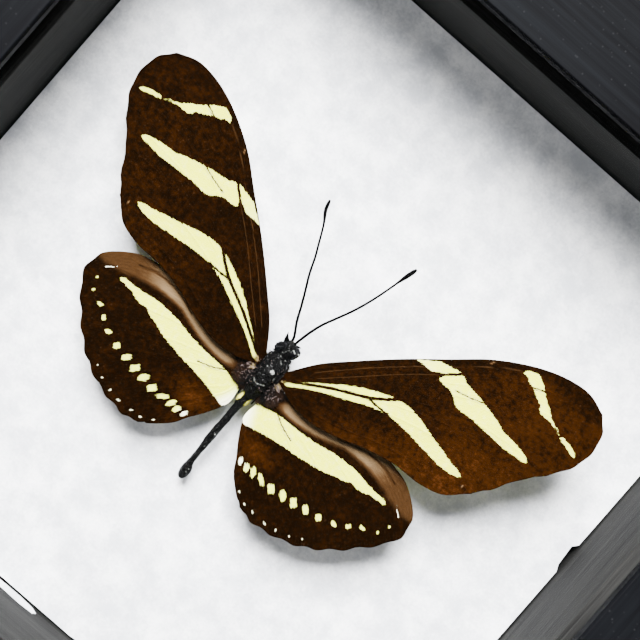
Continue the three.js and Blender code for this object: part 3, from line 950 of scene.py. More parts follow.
FOREWING = WingPlan(
    label="forewing",
    costa=((1.85, -0.95), (4.45, 2.8), (8.05, 6.5), (12.75, 11.0), (17.75, 15.3),
           (22.45, 19.3), (28.05, 22.55), (32.25, 23.95), (35.45, 24.2), (38.45, 23.2)),
    margin=((38.45, 23.2), (40.25, 21.0), (40.8, 18.2), (40.25, 15.3),
            (38.25, 12.0), (35.75, 8.9), (33.65, 5.3), (31.25, 2.4)),
    inner=((1.9, -2.7), (3.3, -3.2), (5.45, -3.9), (8.75, -4.1), (12.75, -3.25),
           (16.95, -1.8), (21.25, -0.8), (25.75, -0.55), (29.05, 0.4), (31.25, 2.4)),
    veins=(
        Vein(0.02, ((0, 0.13), (0.15, 0.09), (0.45, 0.11), (1, 0.1))),
        Vein(0.46, ((0, 0.24), (0.3, 0.18), (0.46, 0.17), (1, 0.24))),
        Vein(0.47, ((0, 0.35), (0.3, 0.26), (0.46, 0.24), (0.64, 0.288), (1, 0.38))),
        Vein(0.02, ((0, 0.5), (0.1, 0.47), (0.2, 0.425), (0.33, 0.42), (0.42, 0.37), (1, 0.52))),
        Vein(0.4, ((0, 0.6), (0.1, 0.54), (0.2, 0.48), (0.33, 0.47), (0.4, 0.46), (1, 0.66))),
        Vein(0.32, ((0, 0.7), (0.1, 0.62), (0.2, 0.55), (0.33, 0.53), (0.4, 0.57), (1, 0.84))),
        Vein(0.02, ((0, 0.85), (0.3, 0.88), (1, 0.95))),
    ),
    scallop=0.12,
    root_height=5.2,
    bands=(
        ((2.4, -2.35), (4.3, -0.5), (7.0, 1.6), (10.0, 3.8), (12.5, 5.1), (14.8, 6.1), (16.8, 6.5),
              (19.0, 6.45), (22.0, 5.7), (24.2, 5.2), (26.6, 4.6), (28.9, 4.15), (29.0, 3.85), (28.6, 3.55),
              (26.0, 3.15), (24.0, 3.3), (22.1, 3.5), (19.0, 3.8), (15.5, 3.7), (13.0, 2.9), (10.0, 1.5),
              (7.0, 0.1), (4.5, -1.3), (2.8, -2.4)),
        ((14.1, 12.25), (15.2, 13.1), (16.6, 14.1), (18.0, 14.45), (19.8, 14.85), (19.3, 14.3),
              (18.6, 13.6), (17.6, 12.95), (16.5, 12.35), (15.2, 12.35)),
        ((18.1, 12.2), (18.3, 12.9), (19.2, 14.0), (20.3, 14.65), (21.3, 14.3), (22.7, 14.1), (24.5, 13.85),
              (26.4, 13.4), (28.4, 12.9), (29.4, 12.5), (31.0, 12.4), (32.7, 12.2), (33.9, 11.9), (34.6, 11.45),
              (34.3, 11.1), (33.0, 10.95), (30.4, 10.75), (28.4, 10.9), (26.4, 10.9), (24.8, 10.95),
              (22.9, 10.8), (21.9, 11.05), (21.2, 11.6), (20.2, 12.0), (19.0, 12.05)),
        ((26.3, 20.5), (26.7, 21.1), (27.4, 21.5), (28.1, 21.65), (28.7, 21.4), (29.4, 21.05), (30.0, 20.5),
              (31.1, 19.7), (32.2, 19.05), (33.0, 18.4), (33.8, 17.95), (34.9, 17.6), (33.7, 17.62),
              (33.1, 17.75),
              (32.4, 17.75), (31.7, 17.75), (31.2, 18.05), (31.0, 18.5), (30.1, 18.95), (28.8, 19.65),
              (27.8, 20.0),
              (27.0, 20.4)),
        ((33.6, 17.7), (35.0, 17.45), (35.8, 17.3), (36.8, 17.2), (37.8, 17.0), (38.7, 16.6), (39.05, 16.3),
              (38.9, 16.1), (38.2, 16.2), (37.3, 16.5), (36.4, 16.75), (35.4, 17.2), (34.6, 17.4)),
    ),
    spots=(),
    light_strokes=(),
    dark_strokes=(
        Stroke(((2.2, -2.0), (5.0, -0.25), (8.0, 1.6), (11.0, 3.1), (12.9, 4.1), (15.9, 6.5)), 0.22),
        Stroke(((12.4, 3.85), (13.6, 3.75), (15.4, 3.72), (16.0, 3.8)), 0.17),
        Stroke(((16.8, 12.3), (18.3, 13.2), (19.4, 14.2), (20.3, 15.1)), 0.18),
        Stroke(((20.8, 12.5), (23.0, 13.05), (25.3, 13.8)), 0.09),
        Stroke(((27.6, 19.4), (29.2, 20.0), (30.6, 20.6)), 0.14),
        Stroke(((32.8, 18.9), (34.6, 17.6), (36.2, 17.1)), 0.08),
    ),
    shade_areas=fore_areas,
)

HINDWING = WingPlan(
    label="hindwing",
    costa=((1.95, -4.05), (3.4, -4.0), (6.5, -2.4), (10.0, -1.3), (14.25, -0.6), (18.25, -0.6),
           (21.95, -1.1), (24.5, -1.75), (26.5, -2.95), (28.0, -4.2), (28.65, -5.05)),
    margin=((28.65, -5.05), (29.2, -7.5), (28.3, -9.8), (26.4, -12.2), (24.2, -14.6),
            (21.4, -17.0), (18.2, -18.8), (14.5, -19.9), (10.8, -20.15), (8.25, -18.95)),
    inner=((1.55, -6.3), (1.62, -7.3), (1.42, -8.6), (1.45, -9.6), (2.0, -10.9),
           (3.1, -12.8), (4.35, -14.6), (5.5, -16.5), (6.95, -17.9), (8.25, -18.95)),
    veins=(
        Vein(0.02, ((0, 0.14), (1, 0.11))),
        Vein(0.36, ((0, 0.28), (1, 0.255))),
        Vein(0.34, ((0, 0.4), (1, 0.39))),
        Vein(0.02, ((0, 0.5), (1, 0.52))),
        Vein(0.3, ((0, 0.6), (1, 0.63))),
        Vein(0.2, ((0, 0.7), (1, 0.755))),
        Vein(0.02, ((0, 0.8), (1, 0.865))),
        Vein(0.02, ((0, 0.92), (1, 0.95))),
    ),
    scallop=0.3,
    root_height=4.0,
    bands=(
        ((1.1, -7.2), (2.4, -6.85), (4.1, -6.4), (5.3, -6.25), (7.5, -6.15), (9.5, -6.0), (11.5, -5.75),
              (13.4, -5.35), (16.0, -5.1), (18.0, -5.05), (20.3, -5.4), (22.3, -5.5), (23.5, -5.6),
              (24.1, -5.85),
              (23.95, -6.12), (23.3, -6.22), (22.4, -6.25), (21.6, -6.3), (21.0, -6.65), (19.5, -6.9),
              (18.5, -6.75), (17.6, -7.25), (16.4, -7.5), (14.6, -8.15), (12.5, -8.55), (10.5, -8.9),
              (9.0, -9.05), (6.4, -9.4), (4.3, -9.85), (2.6, -10.25), (1.7, -10.35), (1.0, -9.6), (0.8, -8.4)),
    ),
    spots=(
        Spot(4.9, -14.65, 0.25, 0.52, 28, 2.4), Spot(6.15, -14.8, 0.35, 0.6, 30, 3.5),
        Spot(7.25, -14.65, 0.33, 0.72, 32, 2.8), Spot(8.75, -14.7, 0.32, 0.92, 58, 2.4),
        Spot(10.65, -14.75, 0.48, 0.7, 43, 3.2), Spot(12.5, -14.4, 0.42, 0.74, 43, 3.5),
        Spot(14.25, -14.15, 0.45, 0.68, 43, 3.5), Spot(16.2, -13.8, 0.38, 0.68, 46, 2.8),
        Spot(18.25, -13.45, 0.44, 0.48, 43, 3.0), Spot(20.4, -12.7, 0.31, 0.48, 75, 2.4),
        Spot(22.15, -11.65, 0.36, 0.33, 43, 2.4), Spot(23.85, -10.5, 0.27, 0.41, 78, 2.4),
        Spot(25.8, -9.55, 0.16, 0.24, 20), Spot(26.55, -7.95, 0.19, 0.18, 0, 2.6),
        Spot(9.25, -18.85, 0.12, 0.18, 60), Spot(10.85, -18.95, 0.1, 0.2, 50),
        Spot(13.05, -19.05, 0.12, 0.19, 75), Spot(14.9, -18.7, 0.1, 0.16, 40),
        Spot(16.95, -18.05, 0.12, 0.12), Spot(7.55, -17.95, 0.07, 0.14, 45),
        Spot(18.6, -17.15, 0.07, 0.1, 45),
    ),
    light_strokes=(Stroke(((25.4, -5.0), (25.9, -5.5), (26.6, -6.1)), 0.05),),
    dark_strokes=(Stroke(((4.4, -6.2), (5.6, -6.9), (7.1, -7.5), (8.3, -7.8)), 0.1),),
    shade_areas=hind_areas,
)


@dataclass
class Wing:
    """One wing: a thin veined sheet between its costa, outer margin and inner margin."""

    plan: WingPlan
    side: Side
    placing: Placing
    rows: int = 220
    gap_cells: int = 12
    ridge_cells: int = 3
    ridge_height: float = 0.045
    ridge_half_width: float = 0.16
    pleat: float = 0.018
    camber: float = 0.22
    thickness: float = 0.14
    lift: float = 0.34

    def __post_init__(self) -> None:
        """Draws the wing's edges."""
        self.costa = Track(self.plan.costa)
        self.margin = Track(self.plan.margin)
        self.inner = Track(self.plan.inner)
        ends = [float(vein.across(np.array(1.0))) for vein in self.plan.veins]
        self.ends = np.array([0.0, *ends, 1.0])

    def margin_point(self, across: np.ndarray) -> np.ndarray:
        """Outer margin with a shallow dip between every two vein ends.

        Args:
            across: Shares of the way from the costa to the inner margin.

        Returns:
            The places in mm.
        """
        point = self.margin.at(across)
        step = 0.002
        run = self.margin.at(np.clip(across + step, 0, 1)) - self.margin.at(np.clip(across - step, 0, 1))
        run /= np.maximum(np.linalg.norm(run, axis=-1, keepdims=True), 1e-9)
        gap = np.clip(np.searchsorted(self.ends, across) - 1, 0, len(self.ends) - 2)
        share = (across - self.ends[gap]) / (self.ends[gap + 1] - self.ends[gap])
        depth = self.plan.scallop * np.sin(math.pi * share) ** 2 * smoothstep(-0.2, 0.25, across)
        point[..., 0] += run[..., 1] * depth
        point[..., 1] -= run[..., 0] * depth
        return point

    def point(self, reach: np.ndarray, across: np.ndarray) -> np.ndarray:
        """Fills the wing's plane between its edges.

        Args:
            reach: Shares of the way out.
            across: Shares of the way across.

        Returns:
            The places in mm.
        """
        s = reach[..., None]
        t = across[..., None]
        root = (1 - s) * ((1 - t) * self.costa.at(0.0) + t * self.inner.at(0.0))
        sides = (1 - t) * self.costa.at(reach) + t * self.inner.at(reach)
        ends = root + s * self.margin_point(across)
        corners = root + s * ((1 - t) * self.costa.at(1.0) + t * self.inner.at(1.0))
        return sides + ends - corners

    def columns(self, reach: np.ndarray) -> tuple[np.ndarray, np.ndarray]:
        """Places across the wing for every row, crowded at the veins.

        Args:
            reach: Share of the way out of each row.

        Returns:
            The places across and the lift in mm at each, one row each.
        """
        chord = np.linalg.norm(self.costa.at(reach) - self.inner.at(reach), axis=-1)
        crests = [np.zeros_like(reach), *(vein.across(reach) for vein in self.plan.veins), np.ones_like(reach)]
        places = [np.zeros_like(reach)]
        lifts = [np.zeros_like(reach)]
        for k in range(1, len(crests)):
            before, here = crests[k - 1], crests[k]
            span = here - before
            foot = np.minimum(self.ridge_half_width / chord, span * 0.3)
            start = before + (foot if k > 1 else 0.0)
            stop = here - (foot if k < len(crests) - 1 else 0.0)
            sag = -self.pleat * np.minimum(1.0, span * chord / 3.0)
            if k > 1:
                self.add_ridge(places, lifts, before, foot, k - 2, reach, falling=True)
            for n in range(1, self.gap_cells + 1):
                share = n / self.gap_cells
                places.append(start + (stop - start) * share)
                lifts.append(sag * math.sin(math.pi * share))
            if k < len(crests) - 1:
                self.add_ridge(places, lifts, stop, foot, k - 1, reach, falling=False)
        return np.stack(places, axis=1), np.stack(lifts, axis=1)

    def add_ridge(self, places: list[np.ndarray], lifts: list[np.ndarray], start: np.ndarray,
                  foot: np.ndarray, vein: int, reach: np.ndarray, falling: bool) -> None:
        """Adds the columns of one half of a vein's ridge.

        Args:
            places: Columns so far, as places across.
            lifts: Their lifts in mm.
            start: Where the half begins.
            foot: Its width.
            vein: The vein's number.
            reach: Share of the way out of each row.
            falling: True for the half behind the crest.
        """
        rise = np.clip((reach - self.plan.veins[vein].start) / 0.04, 0.0, 1.0)
        crest = self.ridge_height * (1.0 - 0.5 * reach) * rise
        for n in range(1, self.ridge_cells + 1):
            share = n / self.ridge_cells
            places.append(start + foot * share)
            height = 1.0 - share if falling else share
            lifts.append(crest * math.sin(math.pi / 2 * height) ** 1.5)

    def build(self, material: Material) -> None:
        """Shapes, marks and places the wing.

        Args:
            material: The wing scales.
        """
        reach = np.linspace(0.0, 1.0, self.rows + 1)
        across, lift = self.columns(reach)
        columns = across.shape[1]
        reach = np.repeat(reach[:, None], columns, axis=1)
        flat = self.point(reach, across)
        spots = flat.reshape(-1, 2) - [MARK_SHIFT, 0.0]
        bm = bmesh.new()
        bmesh.ops.create_grid(bm, x_segments=columns - 1, y_segments=self.rows, size=1.0)
        bm.verts.ensure_lookup_table()
        order = np.array([self.cell_of(v.co, columns) for v in bm.verts])
        places = self.lay(flat, reach, across, lift).reshape(-1, 3)[order]
        for vert, place in zip(bm.verts, places):
            vert.co = place
        if self.side is Side.RIGHT:
            bmesh.ops.reverse_faces(bm, faces=bm.faces)
        name = f"{self.plan.label}_{self.side.tag}"
        piece = finish_mesh(f"scaled_{name}", bm)
        for key, values in self.marks(spots, reach.ravel(), across.ravel()).items():
            put_values(piece, key, values[order])
        wall = piece.modifiers.new("membrane", "SOLIDIFY")
        wall.thickness = self.thickness * MM
        wall.offset = -1.0
        install(piece, material, "wing_scales", name)

    def cell_of(self, co: Vector, columns: int) -> int:
        """Row-major index of a fresh grid vertex.

        Args:
            co: Its place in the fresh grid.
            columns: Columns of the grid.

        Returns:
            The index.
        """
        column = round((co.x + 1.0) / 2.0 * (columns - 1))
        row = round((co.y + 1.0) / 2.0 * self.rows)
        return row * columns + column

    def lay(self, flat: np.ndarray, reach: np.ndarray, across: np.ndarray, lift: np.ndarray) -> np.ndarray:
        """Swings, raises and mirrors the flat wing into the case.

        Args:
            flat: Places on the flat right wing in mm.
            reach: Their shares of the way out.
            across: Their shares of the way across.
            lift: Their lifts in mm.

        Returns:
            The places in metres.
        """
        turn = math.radians(self.placing.swing)
        root = np.array(self.plan.costa[0])
        away = (flat - root) * [self.placing.width, 1.0]
        x = root[0] + away[..., 0] * math.cos(turn) - away[..., 1] * math.sin(turn)
        y = root[1] + away[..., 0] * math.sin(turn) + away[..., 1] * math.cos(turn)
        y = y + self.placing.drop * reach
        bow = self.camber * np.sin(math.pi * across) * np.sin(math.pi * 0.8 * np.minimum(1.0, reach + 0.1))
        ripple = 0.05 * np.sin(x * 0.9 + 2.0 * across) * np.sin(y * 0.7 + x * 0.2) * reach
        level = BED + self.plan.root_height + self.placing.slope * x + bow + ripple + self.lift + lift
        return np.stack([BODY_X + self.side.value * x, y, level], axis=-1) * MM

    def marks(self, spots: np.ndarray, reach: np.ndarray, across: np.ndarray) -> dict[str, np.ndarray]:
        """Works out the numbers that the wing's material reads.

        Args:
            spots: Places on the flat wing in mm.
            reach: Their shares of the way out.
            across: Their shares of the way across.

        Returns:
            The numbers of every place, by name.
        """
        light = np.full(len(spots), NO_DEPTH)
        for outline in self.plan.bands:
            light = np.maximum(light, depth_inside(spots, outline))
        for mark in (*self.plan.spots, *self.plan.light_strokes):
            light = np.maximum(light, mark.depth(spots))
        for stroke in self.plan.dark_strokes:
            light = np.minimum(light, -stroke.depth(spots))
        white, tan, warm = self.plan.shade_areas(spots)
        return {
            "light": light,
            "white": white,
            "tan": tan,
            "warm": warm * self.placing.warmth,
            "reach": reach * self.costa.length,
            "across": across * 20.0,
        }


@dataclass
class Ring:
    """One cross-section of the body: place along it, middle, half width and half height."""

    y: float
    x: float
    z: float
    wide: float
    high: float


def body_rings() -> list[Ring]:
    """Lists the body's cross-sections.

    Returns:
        The rings from the front of the head to the tip of the abdomen, in mm.
    """
    front = [
        (2.78, -0.4, 4.45, 0.3, 0.35), (2.6, -0.4, 4.45, 0.62, 0.72), (2.2, -0.36, 4.5, 0.78, 1.02),
        (1.5, -0.32, 4.5, 0.84, 1.18), (0.85, -0.3, 4.5, 0.8, 1.05), (0.5, -0.3, 4.48, 0.66, 0.78),
        (0.28, -0.31, 4.46, 0.6, 0.66), (0.1, -0.32, 4.48, 0.85, 0.9), (-0.2, -0.32, 4.5, 1.22, 1.2),
        (-0.45, -0.32, 4.52, 1.32, 1.34), (-0.6, -0.31, 4.53, 1.28, 1.36), (-1.0, -0.3, 4.55, 1.47, 1.66),
        (-2.2, -0.3, 4.6, 1.6, 2.02), (-3.6, -0.3, 4.6, 1.62, 2.07), (-4.5, -0.31, 4.54, 1.54, 1.96),
        (-4.9, -0.32, 4.5, 1.46, 1.82), (-5.15, -0.32, 4.46, 1.42, 1.8), (-6.2, -0.36, 4.35, 1.2, 1.46),
        (-6.9, -0.4, 4.22, 0.96, 1.12), (-7.15, -0.42, 4.13, 0.85, 0.98), (-7.6, -0.44, 4.0, 0.92, 0.98),
        (-8.2, -0.46, 3.93, 0.92, 0.95), (-8.8, -0.5, 3.85, 0.7, 0.8), (-9.3, -0.52, 3.74, 0.53, 0.64),
    ]
    rings = [Ring(*row) for row in smooth_line(front, per_span=5)]
    joints = [-9.4, -11.1, -13.6, -16.1, -18.4, -20.0]
    axis = Track([(9.3, -0.52, 3.74, 0.52, 0.63), (12.0, -0.49, 3.3, 0.56, 0.63),
                  (14.0, -0.48, 2.95, 0.56, 0.6),
                  (16.0, -0.43, 2.6, 0.55, 0.57), (18.0, -0.31, 2.29, 0.48, 0.54),
                  (19.6, -0.24, 2.05, 0.52, 0.53),
                  (20.4, -0.09, 1.95, 0.74, 0.66), (21.2, 0.0, 1.85, 0.8, 0.72), (22.0, 0.05, 1.8, 0.6, 0.56),
                  (22.45, 0.1, 1.78, 0.3, 0.3), (22.58, 0.12, 1.78, 0.06, 0.06)])
    for share in np.linspace(0.02, 1.0, 74):
        length, x, z, wide, high = axis.at(share)
        pinch = 1.0 - 0.1 * sum(math.exp(-((length + joint) / 0.12) ** 2) for joint in joints)
        rings.append(Ring(-length, x, z, wide * pinch, high * pinch))
    return rings


@dataclass
class BodyForm:
    """Head, thorax and abdomen as one skin, with eyes, pile and mouthparts."""

    skin: Cuticle = field(default_factory=Cuticle)
    around: int = 56
    dents: Pair = (0.17, 0.07)
    waist: float = -7.2
    abdomen_front: float = -9.3
    pleats: float = 5.0
    feeler_radius: float = 0.21
    palp_tip: float = 0.03
    leg_radii: Pair = (0.2, 0.11)
    tongue_radii: Pair = (0.18, 0.1)
    pile_tufts: int = 5600
    dots: tuple[Spot, ...] = (
        Spot(-0.49, 0.23, 0.16, 0.14), Spot(0.43, 0.25, 0.16, 0.24, 20), Spot(0.15, -0.52, 0.22, 0.11, -40),
        Spot(0.03, -2.2, 0.34, 0.3, -15), Spot(-1.15, -2.0, 0.06, 0.1, 60), Spot(1.28, 1.92, 0.14, 0.1),
    )
    lines: tuple[Stroke, ...] = (
        Stroke(((-1.41, -4.46), (-0.99, -4.82), (-0.66, -4.85), (-0.2, -4.66), (0.38, -4.37)), 0.09),
        Stroke(((-0.9, 0.25), (-0.59, 0.83), (-0.15, 1.52)), 0.06),
        Stroke(((0.13, 1.5), (0.33, 1.94), (0.76, 1.68)), 0.05),
        Stroke(((0.91, -0.07), (1.3, -0.45)), 0.05), Stroke(((0.83, -3.12), (0.87, -2.5)), 0.05),
    )
    flanks: tuple[Spot, ...] = (Spot(-1.17, -7.75, 0.26, 0.78, -6), Spot(0.42, -7.75, 0.3, 0.9, -16))
    specks: tuple[Spot, ...] = (
        Spot(-0.2, -14.3, 0.14, 0.08), Spot(-0.3, -16.7, 0.12, 0.06, 30), Spot(0.2, -20.6, 0.09, 0.07),
        Spot(0.15, -21.1, 0.08, 0.07), Spot(0.1, -15.6, 0.03, 0.3, 8), Spot(0.12, -18.2, 0.03, 0.35, 5),
    )

    def build(self) -> None:
        """Builds the body and everything that grows from it but the wings."""
        self.build_skin()
        self.build_eyes()
        self.build_limbs()
        self.build_pile()

    def surface(self, row: int, angle: float) -> Vector:
        """A place on the smooth skin, in mm."""
        ring = self.rings[row]
        height = BED + ring.z + ring.high * math.sin(angle)
        return Vector((ring.x + ring.wide * math.cos(angle), ring.y, height))

    def build_skin(self) -> None:
        """One skin from head to tail, drawn out ring by ring."""
        self.rings = body_rings()
        bm = drawn_out(self.around, len(self.rings), lambda row, angle: self.surface(row, angle) * MM)
        self.wrinkle(bm)
        bmesh.ops.recalc_face_normals(bm, faces=bm.faces)
        piece = finish_mesh("body_skin", bm)
        self.mark(piece)
        install(piece, self.skin.build("body_cuticle", True), "body_cuticle", "head", "thorax", "abdomen")

    def wrinkle(self, bm: BMesh) -> None:
        """Dents the skin a little, as dry insects are.

        Args:
            bm: The body's mesh.
        """
        bm.normal_update()
        for vert in bm.verts:
            spot = vert.co / MM
            dry = self.dents[0] if spot.y > self.waist else self.dents[1]
            fold = noise.noise(Vector((spot.x * 2.6, spot.y * 2.0, spot.z * 2.6)))
            fold += 0.5 * noise.noise(spot * 6.5)
            if spot.y < self.abdomen_front:
                fold += 0.7 * math.sin(math.atan2(spot.z - BED - 3.0, spot.x + 0.45) * self.pleats)
            vert.co += vert.normal * fold * dry * MM

    def mark(self, piece: Piece) -> None:
        """Stores the pale marks.

        Args:
            piece: A piece of the body.
        """
        places = np.empty(len(piece.data.vertices) * 3)
        piece.data.vertices.foreach_get("co", places)
        pale, lemon = self.pale_marks(places.reshape(-1, 3) / MM)
        put_values(piece, "pale", pale)
        put_values(piece, "lemon", lemon)

    def pale_marks(self, places: np.ndarray) -> tuple[np.ndarray, np.ndarray]:
        """Works out the pale marks of the body.

        Args:
            places: The vertices' places in mm.

        Returns:
            How deep each vertex lies inside a mark, and 1 where the mark is yellow.
        """
        sides, pale = np.full((2, len(places)), NO_DEPTH)
        for mark in self.flanks:
            sides = np.maximum(sides, mark.depth(places[:, :2]))
        for marks, floor in (((*self.dots, *self.lines), 3.6), (self.specks, 1.9)):
            for mark in marks:
                upper = places[:, 2] > BED + floor
                pale = np.maximum(pale, np.where(upper, mark.depth(places[:, :2]), NO_DEPTH))
        return np.maximum(pale, sides), (sides > -0.4).astype(float)

    def build_eyes(self) -> None:
        """Compound eyes: domes set into the head."""
        # The eyes' lighter colour sits on the crests of their facets as a painted highlight.
        glass = Cuticle(colour(5, 5, 6), colour(22, 21, 25)).build("compound_eye", True, 1700.0)
        forms = {Side.LEFT: ((-1.08, 1.38, 4.6), (0.78, 1.3, 1.0), -42.0),
                 Side.RIGHT: ((0.64, 1.6, 4.5), (0.8, 0.98, 1.02), -30.0)}
        for side, (middle, half, turn) in forms.items():
            bm = bmesh.new()
            bmesh.ops.create_icosphere(bm, subdivisions=5, radius=1.0)
            bmesh.ops.scale(bm, vec=Vector(half) * MM, verts=bm.verts)
            swing = Matrix.Rotation(math.radians(turn), 3, "Z")
            bmesh.ops.rotate(bm, verts=bm.verts, cent=(0, 0, 0), matrix=swing)
            place = Vector((middle[0], middle[1], BED + middle[2])) * MM
            bmesh.ops.translate(bm, vec=place, verts=bm.verts)
            bm.normal_update()
            for vert in bm.verts:
                vert.co += vert.normal * noise.noise(vert.co / MM * 2.6) * 0.2 * MM
            piece = finish_mesh(f"faceted_eye_{side.tag}", bm)
            self.mark(piece)
            install(piece, glass, "eye", f"eye_{side.tag}")

    def build_limbs(self) -> None:
        """Feelers, palps, tongue and legs."""
        black = self.skin.build("limb_cuticle", False, 2600.0, 0.006)
        for side in Side:
            feeler = Limb(FEELER_PATHS[side], self.feeler_radius, CLUB_RADII[side], rings=150, beads=46)
            palp = Limb(PALP_PATHS[side], PALP_RADII[side], self.palp_tip, rings=40)
            limbs = {"ringed_antenna": feeler, "tapered_palp": palp}
            for leg in LEGS:
                limbs[f"jointed_leg_{leg.name}"] = Limb(leg.path(side), *self.leg_radii)
            for label, limb in limbs.items():
                name = f"{label}_{side.tag}"
                install(limb.build(name), black, "limb_cuticle", name.split("_", 1)[1])
        shade = Shade("tongue_cuticle")
        tone = shade.noise(2600.0, 3.0)
        base = shade.mix(tone, colour(34, 20, 12), colour(70, 44, 26))
        brown = shade.close(base, 0.45, shade.bump(tone, 0.00004))
        tongue = Limb(TongueCoil().path(), *self.tongue_radii, rings=160, beads=90)
        install(tongue.build("coiled_tongue"), brown, "tongue", "proboscis")
        shade = Shade("post_plastic")
        haze = shade.noise(500.0, 3.0)
        base = shade.mix(haze, colour(224, 224, 220), colour(240, 240, 238))
        dress(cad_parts["mount_post"].data, shade.close(base, 0.5, shade.bump(haze, 0.00002)))

    def build_pile(self) -> None:
        """Short hair scales on head and thorax, and tufts at the wing roots."""
        draw = random.Random(7)
        black = TuftCoat("black_pile", colour(2, 2, 2), colour(13, 12, 12))
        for _ in range(self.pile_tufts):
            row = draw.randrange(4, self.thorax_end)
            angle = draw.uniform(0, 2 * math.pi)
            root = self.surface(row, angle)
            out = Vector((math.cos(angle), 0.0, math.sin(angle)))
            lie = (out * draw.uniform(0.25, 0.8) + Vector((0, -0.8, 0)) + any_way(draw) * 0.5).normalized()
            black.plant(root - out * 0.06, lie, out, draw.uniform(0.22, 0.5), 0.028,
                        (angle / (2 * math.pi), row / len(self.rings)))
        coats = {
            "black": black,
            "brown": TuftCoat("root_hair", colour(8, 5, 3), colour(36, 22, 14)),
            "cream": TuftCoat("root_tufts", colour(120, 104, 40), colour(176, 152, 112)),
            "pink": TuftCoat("stray_scales", colour(96, 76, 72), colour(178, 160, 156)),
        }
        for patch in ROOT_FUR:
            for side in Side:
                patch.grow(coats[patch.coat], side, draw)
        for coat in coats.values():
            install(coat.finish(), coat.material, "body_cuticle")

    @property
    def thorax_end(self) -> int:
        """First row of the skin behind the thorax."""
        return next(k for k, ring in enumerate(self.rings) if ring.y < -6.9)


def any_way(draw: random.Random) -> Vector:
    """A random vector inside the unit cube."""
    return Vector([draw.uniform(-1.0, 1.0) for _ in range(3)])


@dataclass(frozen=True)
class FurPatch:
    """A patch of tufts at a wing's root.

    It holds its coat, its middle as distance out from the body line, place along
    it and height, its half sizes, the tufts' number, length and half width, and how
    they lean.
    """

    coat: str
    x: float
    y: float
    z: float
    half_x: float
    half_y: float
    count: int
    length: float
    lean: Pair
    width: float = 0.024

    def grow(self, coat: "TuftCoat", side: Side, draw: random.Random) -> None:
        """Plants the patch on one side of the body.

        Args:
            coat: The coat that its tufts join.
            side: The side.
            draw: The random numbers.
        """
        for _ in range(self.count):
            radius = math.sqrt(draw.random())
            angle = draw.uniform(0, 2 * math.pi)
            x = self.x + self.half_x * radius * math.cos(angle)
            y = self.y + self.half_y * radius * math.sin(angle)
            root = Vector((BODY_X + side.value * x, y, BED + self.z + draw.uniform(-0.2, 0.2)))
            lean = Vector((side.value * self.lean[0], self.lean[1], 0.06))
            lie = (lean + any_way(draw) * 0.6).normalized()
            length = self.length * draw.uniform(0.6, 1.2)
            place = (0.5 + 0.1 * side.value * x, 0.5 + 0.04 * y)
            coat.plant(root, lie, Vector((0, 0, 1)), length, self.width, place)


ROOT_FUR = (
    FurPatch("black", 0.85, 0.3, 4.75, 0.55, 0.5, 420, 0.5, (0.5, -0.2)),
    FurPatch("black", 1.45, -0.9, 4.9, 0.4, 0.9, 340, 0.6, (0.7, -0.7)),
    FurPatch("black", 1.6, -2.6, 5.2, 0.3, 0.9, 340, 0.6, (0.8, -0.6)),
    FurPatch("black", 1.75, -4.8, 4.95, 0.6, 1.5, 1000, 0.75, (0.8, -0.6)),
    FurPatch("brown", 3.0, -3.75, 4.75, 1.5, 0.45, 600, 0.8, (1.0, -0.1)),
    FurPatch("brown", 2.1, -3.3, 4.9, 0.8, 0.5, 520, 0.75, (1.0, -0.1)),
    FurPatch("brown", 2.6, -4.3, 4.85, 1.1, 0.7, 700, 0.85, (1.0, -0.2)),
    FurPatch("brown", 2.5, -5.4, 4.85, 1.0, 0.95, 800, 0.9, (0.9, -0.5)),
    FurPatch("brown", 1.5, -6.3, 4.6, 0.5, 0.6, 260, 0.7, (0.5, -0.8)),
    FurPatch("cream", 2.4, -2.4, 5.7, 0.45, 0.4, 70, 0.8, (1.0, 0.5), 0.014),
    FurPatch("cream", 2.1, -3.2, 5.4, 0.4, 0.4, 22, 0.8, (0.9, -0.4), 0.014),
    FurPatch("pink", 2.4, -3.3, 5.5, 0.7, 0.5, 26, 0.55, (1.0, -0.3), 0.013),
    FurPatch("pink", 2.4, -4.7, 5.5, 1.3, 1.1, 44, 0.14, (0.5, -0.3), 0.02),
    FurPatch("pink", 1.1, -3.2, 6.3, 1.2, 2.6, 26, 0.1, (0.2, -0.5)),
)


